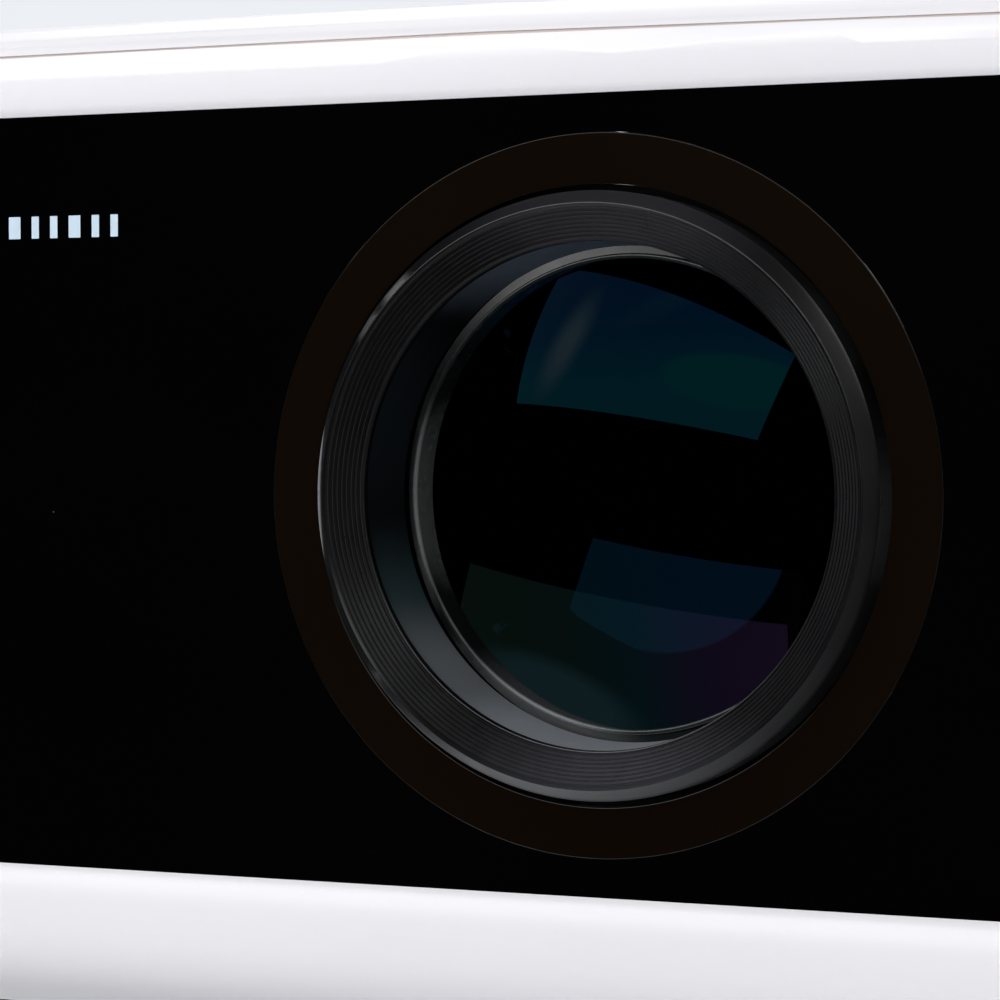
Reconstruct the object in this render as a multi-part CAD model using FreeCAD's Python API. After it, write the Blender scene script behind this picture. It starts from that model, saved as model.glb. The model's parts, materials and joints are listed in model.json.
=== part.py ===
"""Home projector with an off-centre projection lens, modelled as separate pieces, one STEP file per node.

Millimetres. +Z is up, the lens looks along -Y and +X is to the right of someone facing the lens.
The origin is on the table, under the middle of the overall box.
"""

import FreeCAD
import Part
import math
import os
from FreeCAD import Vector

# ---- Overall sizes -------------------------------------------------------------------------------
overall_width = 300.0
overall_depth = 236.0  # lens ring face to rear wall
foot_height = 5.0
case_height = 117.5
wall = 2.5
corner_radius = 28.0
top_edge_radius = 8.0
bottom_edge_radius = 10.0
crown_radius = 6500.0  # the roof and the seam under it arch gently from side to side
seam_below_top = 4.3
seam_gap = 0.4
trim_inset = 0.3
bezel_depth = 32.0  # the front end cap's depth along Y
lip_depth = 4.0
lip_thickness = 1.5
lip_clearance = 0.3
joint_gap = 0.15  # between neighbouring shells
slip = 0.1  # between a piece and the pocket that it drops into

# ---- Lens position and front panel ---------------------------------------------------------------
lens_x = 54.0
axis_above_floor = 62.0
ring_proud = 3.1  # lens ring face in front of the panel
mouth_drop = 2.6  # the grooved face funnels in by this much from its rim to the mouth
frame_proud = 1.8  # bezel frame in front of the panel
panel_width = 240.0
panel_height = 88.5
panel_corner = 6.0
panel_thickness = 2.4
web_thickness = 2.0  # bezel wall that the panel is bonded to
panel_rebate = 2.0
frame_chamfer = 1.0
frame_bevel = 3.0
surround_radius = 40.0
surround_bore = 34.3
surround_thickness = 1.6

# ---- Lens barrel ---------------------------------------------------------------------------------
ring_radius = 33.5
ring_face_radius = 32.2
ring_mouth_radius = 28.05
ring_shoulder = 1.4  # start of the ring's outer chamfer, in front of the panel
ring_grooves = 8
groove_depth = 0.14
ring_back = 3.0  # back of the ring's flange, behind the panel
hood_length = 9.6  # end of the ring's inner hood, behind the panel
hood_wall = 1.2
hood_end_radius = 27.9
glass_radius = 28.6
glass_seat = 15.6  # front lens rim, behind the panel
glass_edge = 4.0  # thickness of the front lens at its rim
front_curve = 60.0
clear_radius = 27.2
retainer_front = 9.9
retainer_radius = 27.1
retainer_nose = 0.3  # rounding of the retainer's front edge
barrel_radius = 32.5
barrel_length = 66.0  # rear end, behind the panel
pin_radius = 1.8
pin_play = 0.12
pin_place = 45.0
pin_count = 3
sleeve_clearance = 0.1
sleeve_wall = 2.0
sleeve_end = 70.0
flange_radius = 50.0
flange_thickness = 3.0
boss_radius = 4.0
collar_wall = 2.4
collar_front = 8.0
collar_end = 58.0
focus_travel = 10.0
focus_turn = 60.0  # degrees of the focus ring for the whole travel

# ---- Focus gears and dial ------------------------------------------------------------------------
gear_module = 1.0
ring_teeth = 88
pinion_teeth = 20
gear_front = 50.0
gear_width = 7.0
backlash = 0.16
dial_radius = 16.2
dial_width = 8.0
dial_front = 40.0
dial_axis_height = 40.3  # above the lens axis
axle_radius = 2.0
axle_clearance = 0.05
dial_grips = 36

# ---- Optical engine ------------------------------------------------------------------------------
engine_wall = 2.5
engine_half_height = 33.0
engine_left = -30.0
engine_right = 100.0
engine_rear = 58.0
mirror_y = 6.0
mirror_half = 40.0
mirror_thickness = 3.0
lcd_x = -2.0
lcd_width = 96.0
lcd_height = 58.0
lcd_thickness = 3.0
lcd_view_width = 88.6
lcd_view_height = 49.8
fresnel_thickness = 2.0
field_fresnel_x = 5.0
collimator_x = -12.0
heat_glass_x = -22.0
cone_end_x = -78.0
cone_wall = 1.5
cone_small = 30.0
led_x = -90.0
led_board = 50.0
heatsink_depth = 30.0
heatsink_size = 68.0
fin_count = 15
fin_thickness = 1.4

# ---- Fans, speakers, boards ----------------------------------------------------------------------
fan_depth = 15.0
exhaust_fan_size = 80.0
intake_fan_size = 60.0
fan_frame_wall = 2.0
fan_blades = 9
speaker_radius = 18.0
speaker_y = -54.0
speaker_z = 84.0
board_thickness = 1.6
board_y = 103.4

# ---- Side grilles and vents ----------------------------------------------------------------------
grille_front = -74.0
grille_rear = 78.0
grille_bottom = 24.0
grille_top = 100.0
grille_corner = 8.0
grille_border = 4.0
slot_height = 3.2
slot_pitch = 6.0
grille_columns = 5
grille_rib = 3.0
filter_thickness = 3.0

# ---- Controls ------------------------------------------------------------------------------------
pad_x = -62.0
pad_y = 25.0
pad_width = 104.0
pad_depth = 48.0
pad_corner = 20.0
pad_thickness = 1.2
ok_radius = 9.0
nav_inner = 10.0
nav_outer = 19.5
nav_gap = 1.2
round_key_radius = 7.0
key_offset = 36.0
key_proud = 0.6
key_clearance = 0.2
key_travel = 0.8

# ---- Rear sockets --------------------------------------------------------------------------------
rear_width = 210.0
rear_bottom = 22.0
rear_height = 40.0
rear_corner = 6.0
socket_z = 38.0
hdmi_places = (78.0, 54.0)
usb_places = (31.0, 11.0)
jack_places = (-8.0, -24.0)
inlet_x = -80.0
ir_x = -50.0
jack_radius = 1.8
jack_depth = 12.0

# ---- Feet and mounts -----------------------------------------------------------------------------
rear_foot_x = 112.0
rear_foot_y = 84.0
rear_foot_radius = 9.0
front_foot_y = -64.0
foot_disc_radius = 12.0
foot_pad_radius = 10.0
foot_stud_radius = 4.0
foot_stud_length = 24.0
thread_clearance = 0.06
tripod_radius = 2.55
tripod_depth = 10.0
ceiling_radius = 1.65
ceiling_depth = 8.0
ceiling_x = 80.0
ceiling_y = 52.0
insert_wall = 1.8
boss_wall = 2.2
post_x = 132.0
post_radius = 4.6
post_below_seam = 18.0
screw_shank = 1.3

# ---- Worked out from the sizes above -------------------------------------------------------------
axis_z = foot_height + axis_above_floor
case_top = foot_height + case_height
panel_y = -overall_depth / 2 + ring_proud
front_y = panel_y - frame_proud
rear_y = overall_depth / 2
side_x = overall_width / 2
seam_z = case_top - seam_below_top
split_y = front_y + bezel_depth
floor_z = foot_height + wall
post_top = seam_z - post_below_seam
sleeve_radius = barrel_radius + sleeve_clearance + sleeve_wall
sleeve_front = panel_thickness + web_thickness
collar_radius = sleeve_radius + sleeve_clearance + collar_wall
ring_pitch = gear_module * ring_teeth / 2
pinion_pitch = gear_module * pinion_teeth / 2
dial_x = lens_x + math.sqrt((ring_pitch + pinion_pitch) ** 2 - dial_axis_height**2)
dial_z = axis_z + dial_axis_height
engine_front = panel_y + sleeve_end
heatsink_x = led_x - 2.0 - heatsink_depth
exhaust_fan_x = heatsink_x - 4.0 - fan_depth
intake_fan_x = side_x - wall - filter_thickness - 3.2 - fan_depth
socket_front = board_y + board_thickness

X_AXIS, Y_AXIS, Z_AXIS = Vector(1, 0, 0), Vector(0, 1, 0), Vector(0, 0, 1)


# ---- Shape helpers -------------------------------------------------------------------------------
def block(x0, x1, y0, y1, z0, z1):
    """Box between two corners."""
    return Part.makeBox(x1 - x0, y1 - y0, z1 - z0, Vector(x0, y0, z0))


def rod(radius, length, base, axis):
    """Cylinder from a base point along an axis."""
    return Part.makeCylinder(radius, length, Vector(*base), axis)


def tube(outer, inner, length, base, axis):
    """Round tube from a base point along an axis."""
    return rod(outer, length, base, axis).cut(rod(inner, length, base, axis))


def joined(shapes):
    """One shape from several that touch or overlap."""
    shapes = list(shapes)
    whole = shapes[0] if len(shapes) == 1 else shapes[0].multiFuse(shapes[1:])
    return whole.removeSplitter()


def group(shapes):
    """Several separate solids in one node."""
    return Part.makeCompound(list(shapes))


def rounded_face(width, height, radius):
    """Rounded rectangle about the origin, in the XY plane."""
    w, h, r = width / 2, height / 2, radius
    corners = [(w - r, h - r, 0), (-w + r, h - r, 90), (-w + r, -h + r, 180), (w - r, -h + r, 270)]
    edges, ends = [], []
    for cx, cy, start in corners:
        first, middle, last = (
            Vector(cx + r * math.cos(math.radians(a)), cy + r * math.sin(math.radians(a)), 0)
            for a in (start, start + 45, start + 90)
        )
        edges.append(Part.Arc(first, middle, last).toShape())
        ends.append((first, last))
    for i in range(4):
        edges.append(Part.LineSegment(ends[i][1], ends[(i + 1) % 4][0]).toShape())
    return Part.Face(Part.Wire(Part.__sortEdges__(edges)))


def plate_z(width, depth, radius, centre, thickness):
    """Rounded plate that lies flat, from its centre upwards."""
    face = rounded_face(width, depth, radius)
    face.translate(Vector(*centre))
    return face.extrude(Vector(0, 0, thickness))


def plate_y(width, height, radius, centre, thickness):
    """Rounded plate that stands across Y, from its centre backwards."""
    face = rounded_face(width, height, radius)
    face.rotate(Vector(0, 0, 0), X_AXIS, 90)
    face.translate(Vector(*centre))
    return face.extrude(Vector(0, thickness, 0))


def plate_x(depth, height, radius, centre, thickness):
    """Rounded plate that stands across X, from its centre to the right."""
    face = rounded_face(depth, height, radius)
    face.rotate(Vector(0, 0, 0), X_AXIS, 90)
    face.rotate(Vector(0, 0, 0), Z_AXIS, 90)
    face.translate(Vector(*centre))
    return face.extrude(Vector(thickness, 0, 0))


def turned(profile, x, z, y=panel_y):
    """Solid of revolution about the lens direction. The profile holds (radius, distance behind y)."""
    points = [Vector(r, d, 0) for r, d in profile]
    face = Part.Face(Part.makePolygon(points + points[:1]))
    solid = face.revolve(Vector(0, 0, 0), Y_AXIS, 360)
    solid.translate(Vector(x, y, z))
    return solid


def under_arch(top, radius):
    """Everything below an arch that is highest over the middle of the case."""
    reach = overall_depth
    return rod(radius, 2 * reach, (0, -reach, top - radius), Y_AXIS)


def arch_height(top, radius, x):
    """Height of such an arch at x."""
    return top - radius + math.sqrt(radius**2 - x**2)


def level_edges(shape, low, high):
    """Edges that lie wholly between two heights."""
    return [e for e in shape.Edges if e.BoundBox.ZMin >= low and e.BoundBox.ZMax <= high]


def case_blank(inset):
    """Outer form of the case, shrunk by inset on every side."""
    height = case_height - 2 * inset
    blank = plate_z(
        overall_width - 2 * inset,
        rear_y - front_y - 2 * inset,
        corner_radius - inset,
        (0, (rear_y + front_y) / 2, foot_height + inset),
        height,
    )
    top = case_top - inset
    blank = blank.common(under_arch(top, crown_radius))
    drop = top - arch_height(top, crown_radius, side_x)
    blank = blank.makeFillet(top_edge_radius - inset, level_edges(blank, top - drop - 1, top + 1))
    bottom = foot_height + inset
    return blank.makeFillet(bottom_edge_radius - inset, level_edges(blank, bottom - 1, bottom + 0.1))


def slots(u_range, z_range, columns, rib, make):
    """Rows and columns of round-ended slots. make(u, z, length) gives one cutter."""
    u0, u1 = u_range
    z0, z1 = z_range
    rows = int((z1 - z0 - slot_height) / slot_pitch) + 1
    length = (u1 - u0 - (columns - 1) * rib) / columns
    first = (z0 + z1) / 2 - (rows - 1) * slot_pitch / 2
    cutters = []
    for row in range(rows):
        for column in range(columns):
            u = u0 + length / 2 + column * (length + rib)
            cutters.append(make(u, first + row * slot_pitch, length))
    return cutters


def gear_teeth(teeth, first, last):
    """Outline points of involute teeth first to last - 1, as (radius, angle) with the root between them."""
    pitch = gear_module * teeth / 2
    base = pitch * math.cos(math.radians(20))
    root, tip = pitch - 1.2 * gear_module, pitch + 0.95 * gear_module
    half = math.pi / (2 * teeth) - backlash / (2 * pitch)

    def flank(radius):
        lift = math.acos(min(1.0, base / radius))
        roll = math.tan(lift) - lift
        at_pitch = math.tan(math.radians(20)) - math.radians(20)
        return half + at_pitch - roll

    steps = [max(root, base), pitch, (pitch + tip) / 2, tip]
    points = []
    for tooth in range(first, last):
        middle = 2 * math.pi * tooth / teeth
        points.append((root, middle - flank(steps[0])))
        points += [(r, middle - flank(r)) for r in steps]
        points += [(r, middle + flank(r)) for r in reversed(steps)]
        points.append((root, middle + flank(steps[0])))
    return points


def gear_sector(teeth, count, bore, centre, y, width, towards):
    """Toothed rim of count teeth about the direction `towards` (radians from +X towards +Z)."""
    points = gear_teeth(teeth, -(count // 2), count - count // 2)
    outline = [Vector(r * math.cos(a + towards), 0, r * math.sin(a + towards)) for r, a in points]
    outline = [p for i, p in enumerate(outline) if i == 0 or p.distanceToPoint(outline[i - 1]) > 1e-6]
    if count < teeth:
        outline.append(Vector(0, 0, 0))
    face = Part.Face(Part.makePolygon(outline + outline[:1]))
    solid = face.extrude(Vector(0, width, 0))
    solid.translate(Vector(centre[0], y, centre[1]))
    return solid.cut(rod(bore, width, (centre[0], y, centre[1]), Y_AXIS))


# ---- Casing --------------------------------------------------------------------------------------
def panel_recess(bezel):
    """Stepped opening for the front panel, with a chamfer and a wide bevel round it."""
    centre = (0, axis_z)
    frame = plate_y(
        panel_width + 10, panel_height + 10, panel_corner + 5, (centre[0], panel_y, centre[1]), 4.0
    )
    bezel = bezel.fuse(frame)
    opening = plate_y(panel_width, panel_height, panel_corner, (0, front_y - 1, axis_z), 20)
    pocket = plate_y(
        panel_width + 2 * panel_rebate,
        panel_height + 2 * panel_rebate,
        panel_corner + panel_rebate,
        (0, panel_y, axis_z),
        20,
    )
    steps = [
        (0.0, panel_y + 0.01),
        (frame_chamfer, panel_y - frame_chamfer),
        (frame_chamfer + frame_bevel, front_y),
        (frame_chamfer + 2 * frame_bevel, front_y - (panel_y - frame_chamfer - front_y)),
    ]
    wires = []
    for grow, y in steps:
        face = rounded_face(panel_width + 2 * grow, panel_height + 2 * grow, panel_corner + grow)
        face.rotate(Vector(0, 0, 0), X_AXIS, 90)
        face.translate(Vector(0, y, axis_z))
        wires.append(face.OuterWire)
    flare = [Part.makeLoft([a, b], True, True) for a, b in zip(wires, wires[1:])]
    return bezel.cut(joined([opening, pocket])).cut(flare[0]).cut(flare[1]).cut(flare[2])


def roof_lip():
    """Locating lip that hangs from the roof just inside the walls, following their inner face."""
    top = under_arch(seam_z + seam_gap + 3.0, crown_radius)
    above = top.cut(under_arch(seam_z + seam_gap + 0.2, crown_radius))
    below = top.cut(under_arch(seam_z - lip_depth, crown_radius))
    inset = wall + lip_clearance + lip_thickness + 1.0
    inner = plate_z(
        overall_width - 2 * inset,
        rear_y - front_y - 2 * inset,
        corner_radius - inset,
        (0, (rear_y + front_y) / 2, seam_z - 20),
        40,
    ).fuse(block(-side_x, side_x, front_y - 1, panel_y + sleeve_front + 1, 0, 2 * case_top))
    root = case_blank(wall - 0.2).cut(inner).common(above)
    lip = case_blank(wall + lip_clearance).cut(inner).common(below)
    return root.fuse(lip)


def dial_ribs(roof):
    """Two ribs under the roof that carry the dial's axle."""
    ribs = []
    for y in (dial_front - 5.0, gear_front + gear_width + 1.5):
        rib = block(dial_x - 6, dial_x + 6, panel_y + y, panel_y + y + 3, dial_z - 6, case_top - 2)
        ribs.append(rib.common(case_blank(wall - 0.2)))
    bore = rod(axle_radius, 60, (dial_x, panel_y + dial_front - 20, dial_z), Y_AXIS)
    return roof.fuse(ribs).cut(bore)


def key_shapes(grow, z0, z1):
    """Plan shapes of the seven keys, grown by a margin, between two heights: {name: solid}."""
    height = z1 - z0
    keys = {
        "power_button": rod(round_key_radius + grow, height, (pad_x - key_offset, pad_y, z0), Z_AXIS),
        "menu_button": rod(round_key_radius + grow, height, (pad_x + key_offset, pad_y, z0), Z_AXIS),
        "ok_button": rod(ok_radius + grow, height, (pad_x, pad_y, z0), Z_AXIS),
    }
    names = ("right_key", "up_key", "left_key", "down_key")
    shift = nav_gap / 2 / math.sin(math.radians(45)) - grow / math.sin(math.radians(45))
    for i, name in enumerate(names):
        reach = 2 * nav_outer
        turn = math.radians(90 * i)
        tip = Vector(shift, 0, 0)
        wedge = Part.makePolygon([tip, tip + Vector(reach, reach, 0), tip + Vector(reach, -reach, 0), tip])
        wedge = Part.Face(wedge).extrude(Vector(0, 0, height))
        wedge.rotate(Vector(0, 0, 0), Z_AXIS, math.degrees(turn))
        wedge.translate(Vector(pad_x, pad_y, z0))
        ring = tube(nav_outer + grow, nav_inner - grow, height, (pad_x, pad_y, z0), Z_AXIS)
        keys[name] = ring.common(wedge)
    return keys


def make_casing():
    """The four shells, the trim band in the seam and the control inlay."""
    shell = case_blank(0).cut(case_blank(wall))
    below = shell.common(under_arch(seam_z, crown_radius))
    roof = shell.cut(under_arch(seam_z + seam_gap, crown_radius))
    trim = case_blank(trim_inset).cut(case_blank(wall))
    trim = trim.common(under_arch(seam_z + seam_gap, crown_radius)).cut(under_arch(seam_z, crown_radius))

    bezel = below.common(block(-side_x - 1, side_x + 1, front_y - 1, split_y, 0, case_top))
    bezel = panel_recess(bezel)
    web = plate_y(
        panel_width + 2 * panel_rebate + 6,
        panel_height + 2 * panel_rebate + 3,
        panel_corner + panel_rebate,
        (0, panel_y + panel_thickness, axis_z),
        web_thickness,
    ).common(case_blank(wall / 2))
    web = web.cut(rod(surround_bore + 1.0, 20, (lens_x, panel_y, axis_z), Y_AXIS))
    bosses, pilots = [], []
    for x, z in screw_places():
        bosses.append(rod(boss_radius, flange_thickness - 0.1, (x, panel_y + sleeve_front, z), Y_AXIS))
        pilots.append(rod(1.32, 10, (x, panel_y + panel_thickness + 0.6, z), Y_AXIS))
    bezel = joined([bezel, web] + bosses).cut(group(pilots))

    lower = below.common(block(-side_x - 1, side_x + 1, split_y + joint_gap, rear_y + 1, 0, case_top))
    lower = make_lower_case(lower)

    pad_top = under_arch(case_top - 0.15, crown_radius)
    pad_floor = under_arch(case_top - 0.15 - pad_thickness, crown_radius)
    pad_low = case_top - 6
    inlay = plate_z(pad_width, pad_depth, pad_corner, (pad_x, pad_y, pad_low), 10)
    inlay = inlay.common(pad_top).cut(pad_floor)
    pocket = plate_z(
        pad_width + 2 * slip, pad_depth + 2 * slip, pad_corner + slip, (pad_x, pad_y, pad_low), 10
    ).cut(pad_floor)
    roof = roof.cut(pocket)
    for hole in key_shapes(key_clearance, case_top - 12, case_top + 2).values():
        roof = roof.cut(hole)
        inlay = inlay.cut(hole)

    roof = joined([roof, roof_lip()])
    roof = dial_ribs(roof)
    posts = [rod(4.0, case_top - post_top - 0.1, (x, y, post_top + 0.1), Z_AXIS) for x, y in floor_posts()]
    stand = case_top - wall - 7.0
    for dx in (-pad_width / 2 + 10, pad_width / 2 - 10):
        for dy in (-pad_depth / 2 + 7, pad_depth / 2 - 7):
            posts.append(rod(2.5, case_top - stand, (pad_x + dx, pad_y + dy, stand), Z_AXIS))
    roof = roof.fuse([p.common(case_blank(wall - 0.2)) for p in posts])
    pilots = [rod(screw_shank + 0.02, 12, (x, y, post_top - 1), Z_AXIS) for x, y in floor_posts()]
    roof = roof.cut(group(pilots))
    roof_at_dial = arch_height(case_top, crown_radius, dial_x)
    slot = plate_z(
        2 * math.sqrt(dial_radius**2 - (roof_at_dial - wall - dial_z) ** 2) + 4,
        dial_width + 2.4,
        2.5,
        (dial_x, panel_y + dial_front + dial_width / 2, case_top - 8),
        12,
    )
    roof = roof.cut(slot)
    return {
        "top_cover": roof,
        "bottom_case": lower,
        "front_bezel": bezel,
        "trim_band": trim,
        "control_inlay": inlay,
    }


def screw_places():
    """Bezel bosses that the lens sleeve's flange is screwed to, as (x, z)."""
    reach = flange_radius - 5.0
    angles = (35, 145, 215, 325)
    return [
        (lens_x + reach * math.cos(math.radians(a)), axis_z + reach * math.sin(math.radians(a)))
        for a in angles
    ]


def fan_places():
    """The two fans, as (x, size, y, z)."""
    return [
        (exhaust_fan_x, exhaust_fan_size, mirror_y, axis_z - 4),
        (intake_fan_x, intake_fan_size, mirror_y + 30, axis_z - 8),
    ]


def floor_posts():
    """Case screw posts, as (x, y)."""
    return [(x, y) for x in (-post_x, post_x) for y in (split_y + 6, rear_y - 18)]


def make_lower_case(lower):
    """Side, rear and floor openings, bosses and foot pockets of the bottom case."""
    additions, cuts = [], []
    for x0 in (-side_x - 1, side_x - wall - 1):
        cuts.append(
            plate_x(
                grille_rear - grille_front,
                grille_top - grille_bottom,
                grille_corner,
                (x0, (grille_front + grille_rear) / 2, (grille_bottom + grille_top) / 2),
                wall + 2,
            )
        )
    cuts.append(
        plate_y(
            rear_width, rear_height, rear_corner, (0, rear_y - wall - 1, rear_bottom + rear_height / 2),
            wall + 2,
        )
    )

    def rear_slot(u, z, length):
        return plate_y(length, slot_height, slot_height / 2 - 0.01, (u, rear_y - wall - 1, z), wall + 2)

    cuts += slots((-95, 95), (76, 104), 6, 5.0, rear_slot)

    def floor_slot(u, v, length):
        return plate_z(length, slot_height, slot_height / 2 - 0.01, (u, v, foot_height - 1), wall + 2)

    cuts += slots((-118, -48), (-44, 28), 2, 5.0, floor_slot)

    for x, y, bore, depth in insert_places():
        outer = bore + insert_wall
        additions.append(rod(outer + boss_wall, depth + 2.7 - wall + 0.5, (x, y, floor_z - 0.5), Z_AXIS))
        cuts.append(rod(outer, depth, (x, y, foot_height), Z_AXIS))
        cuts.append(rod(bore + 0.4, depth + 1.5, (x, y, foot_height), Z_AXIS))
    stud = foot_stud_radius + insert_wall
    additions.append(rod(stud + boss_wall, 12, (0, front_foot_y, floor_z - 0.5), Z_AXIS))
    cuts.append(rod(stud, 10, (0, front_foot_y, foot_height), Z_AXIS))
    cuts.append(rod(foot_stud_radius + 0.5, 30, (0, front_foot_y, foot_height), Z_AXIS))
    for x, y in floor_posts():
        additions.append(rod(post_radius, post_top - floor_z + 0.5, (x, y, floor_z - 0.5), Z_AXIS))
        cuts.append(rod(screw_shank + 0.3, post_top, (x, y, foot_height - 1), Z_AXIS))
        cuts.append(rod(3.3, post_top - 3.0 - foot_height, (x, y, foot_height), Z_AXIS))
    for x, size, y, z in fan_places():
        for side in (-1, 1):
            far, near = side * (size / 2 - 1), side * (size / 2 - 11)
            low, high = sorted((y + far, y + near))
            cradle = block(x - 2.2, x + fan_depth + 2.2, low, high, floor_z - 0.5, z - size / 2 + 5)
            seat = block(x - slip, x + fan_depth + slip, low - 1, high + 1, z - size / 2, z + size)
            additions.append(cradle.cut(seat))
    for x, z in ((-58, 22), (102, 22), (-58, 94), (102, 94)):
        additions.append(rod(3.0, rear_y - 1.5 - socket_front, (x, socket_front, z), Y_AXIS))
    for y in (mirror_y - 28, mirror_y + 28):
        height = axis_z - heatsink_size / 2 - floor_z + 0.5
        additions.append(rod(3.0, height, (led_x - 6, y, floor_z - 0.5), Z_AXIS))
    for x in (-rear_foot_x, rear_foot_x):
        cuts.append(rod(rear_foot_radius + slip, 1.0, (x, rear_foot_y, foot_height), Z_AXIS))
    for x0, x1, y0, y1 in ((-20, -14, -10, 44), (90, 96, -10, 44)):
        additions.append(block(x0, x1, y0, y1, floor_z - 0.5, axis_z - engine_half_height))
    return lower.fuse(additions).cut(group(cuts[:2])).cut(joined(cuts[2:]))


def make_front():
    """Gloss panel and the ring let into it round the lens."""
    panel = plate_y(
        panel_width + 2 * (panel_rebate - slip),
        panel_height + 2 * (panel_rebate - slip),
        panel_corner + panel_rebate - slip,
        (0, panel_y, axis_z),
        panel_thickness,
    )
    seat = surround_thickness + 0.02
    panel = panel.cut(rod(surround_radius, seat, (lens_x, panel_y, axis_z), Y_AXIS))
    panel = panel.cut(rod(surround_bore + 1.5, panel_thickness, (lens_x, panel_y, axis_z), Y_AXIS))
    surround = tube(
        surround_radius - 0.04, surround_bore, surround_thickness, (lens_x, panel_y, axis_z), Y_AXIS
    )
    return {"front_panel": panel, "lens_surround": surround}


# ---- Lens ----------------------------------------------------------------------------------------
def sag(curve, radius):
    """Depth of a spherical surface at a radius."""
    return curve - math.sqrt(curve**2 - radius**2)


def lens_element(front_curve, back_curve, front_rim, back_rim, clear):
    """Glass element with spherical faces; a positive curve bulges outwards, a negative one is hollow."""

    def face_point(curve, rim, side, radius):
        bulge = math.copysign(sag(abs(curve), clear) - sag(abs(curve), radius), curve)
        return Vector(lens_x + radius, panel_y + rim + side * bulge, axis_z)

    front = [face_point(front_curve, front_rim, -1, r) for r in (0.0, clear / 2, clear)]
    back = [face_point(back_curve, back_rim, 1, r) for r in (clear, clear / 2, 0.0)]
    rim_start = Vector(lens_x + glass_radius, panel_y + front_rim, axis_z)
    rim_end = Vector(lens_x + glass_radius, panel_y + back_rim, axis_z)
    edges = [
        Part.Arc(*front).toShape(),
        Part.makeLine(front[-1], rim_start),
        Part.makeLine(rim_start, rim_end),
        Part.makeLine(rim_end, back[0]),
        Part.Arc(*back).toShape(),
        Part.makeLine(back[-1], front[0]),
    ]
    section = Part.Face(Part.Wire(edges))
    return section.revolve(Vector(lens_x, 0, axis_z), Y_AXIS, 360)


def ring_profile():
    """Section of the grooved lens ring: hood, lip, fine-grooved face, chamfer and flange."""
    inner_face = ring_proud - mouth_drop
    width = (ring_face_radius - ring_mouth_radius - 0.5) / ring_grooves
    profile = [(ring_mouth_radius, -inner_face + 0.9), (ring_mouth_radius, -inner_face)]
    slope = (ring_proud - inner_face) / (ring_face_radius - ring_mouth_radius)
    for i in range(ring_grooves):
        start = ring_mouth_radius + 0.25 + i * width
        for share, deep in ((0.0, 0.0), (0.5, groove_depth), (1.0, 0.0)):
            r = start + share * width
            profile.append((r, -inner_face - slope * (r - ring_mouth_radius) + deep))
    profile = [p for i, p in enumerate(profile) if i == 0 or p != profile[i - 1]]
    profile += [
        (ring_face_radius, -ring_proud),
        (ring_radius - 0.3, -ring_shoulder - 0.25),
        (ring_radius, -ring_shoulder),
        (ring_radius, ring_back),
        (hood_end_radius + 2 * hood_wall, ring_back),
        (hood_end_radius + hood_wall, hood_length),
        (hood_end_radius, hood_length),
        (ring_mouth_radius + 1.0, -inner_face + 1.7),
        (ring_mouth_radius + 0.6, -inner_face + 0.9),
    ]
    return profile


def retainer_profile():
    """Section of the ring that holds the front glass: a rounded edge and a bore that widens to the glass."""
    nose = retainer_nose
    centre = (retainer_radius - nose, retainer_front + nose)
    arc = []
    for angle in range(0, 181, 30):
        a = math.radians(angle)
        arc.append((centre[0] + nose * math.cos(a), centre[1] - nose * math.sin(a)))
    skirt = [
        (glass_radius, glass_seat),
        (glass_radius, retainer_front + 2.2),
        (retainer_radius, retainer_front + 1.6),
    ]
    return skirt + arc + [(clear_radius, glass_seat)]


def straight_slot(reach):
    """Cutter for a slot along the lens, as long as the focus travel."""
    half = pin_radius + pin_play
    middle = panel_y + pin_place - focus_travel / 2
    slot = plate_z(2 * half, focus_travel + 2 * half, half - 0.01, (0, middle, 0), reach)
    slot.rotate(Vector(0, 0, 0), Y_AXIS, 90)
    return slot


def cam_slot(inner, outer):
    """Helical slot cutter: a radial blade carried round and forwards, with round ends."""
    half = pin_radius + pin_play
    steps = 8
    wires = []
    for i in range(steps + 1):
        share = i / steps
        turn = math.radians(focus_turn * share)
        y = panel_y + pin_place - focus_travel * share
        along = Vector(math.cos(turn), 0, math.sin(turn))
        near, far = along * inner, along * outer
        corners = [near + Vector(0, y - half, 0), far + Vector(0, y - half, 0),
                   far + Vector(0, y + half, 0), near + Vector(0, y + half, 0)]
        wires.append(Part.makePolygon(corners + corners[:1]))
    blade = Part.makeLoft(wires, True, False)
    ends = []
    for share in (0.0, 1.0):
        turn = math.radians(focus_turn * share)
        y = panel_y + pin_place - focus_travel * share
        along = Vector(math.cos(turn), 0, math.sin(turn))
        ends.append(Part.makeCylinder(half, outer - inner, along * inner + Vector(0, y, 0), along))
    return joined([blade] + ends)


def around_axis(shape, count, start):
    """Copies of a shape made about the Y axis, spread round the lens axis."""
    copies = []
    for i in range(count):
        copy = shape.copy()
        copy.rotate(Vector(0, 0, 0), Y_AXIS, -(start + 360.0 * i / count))
        copy.translate(Vector(lens_x, 0, axis_z))
        copies.append(copy)
    return copies


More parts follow.
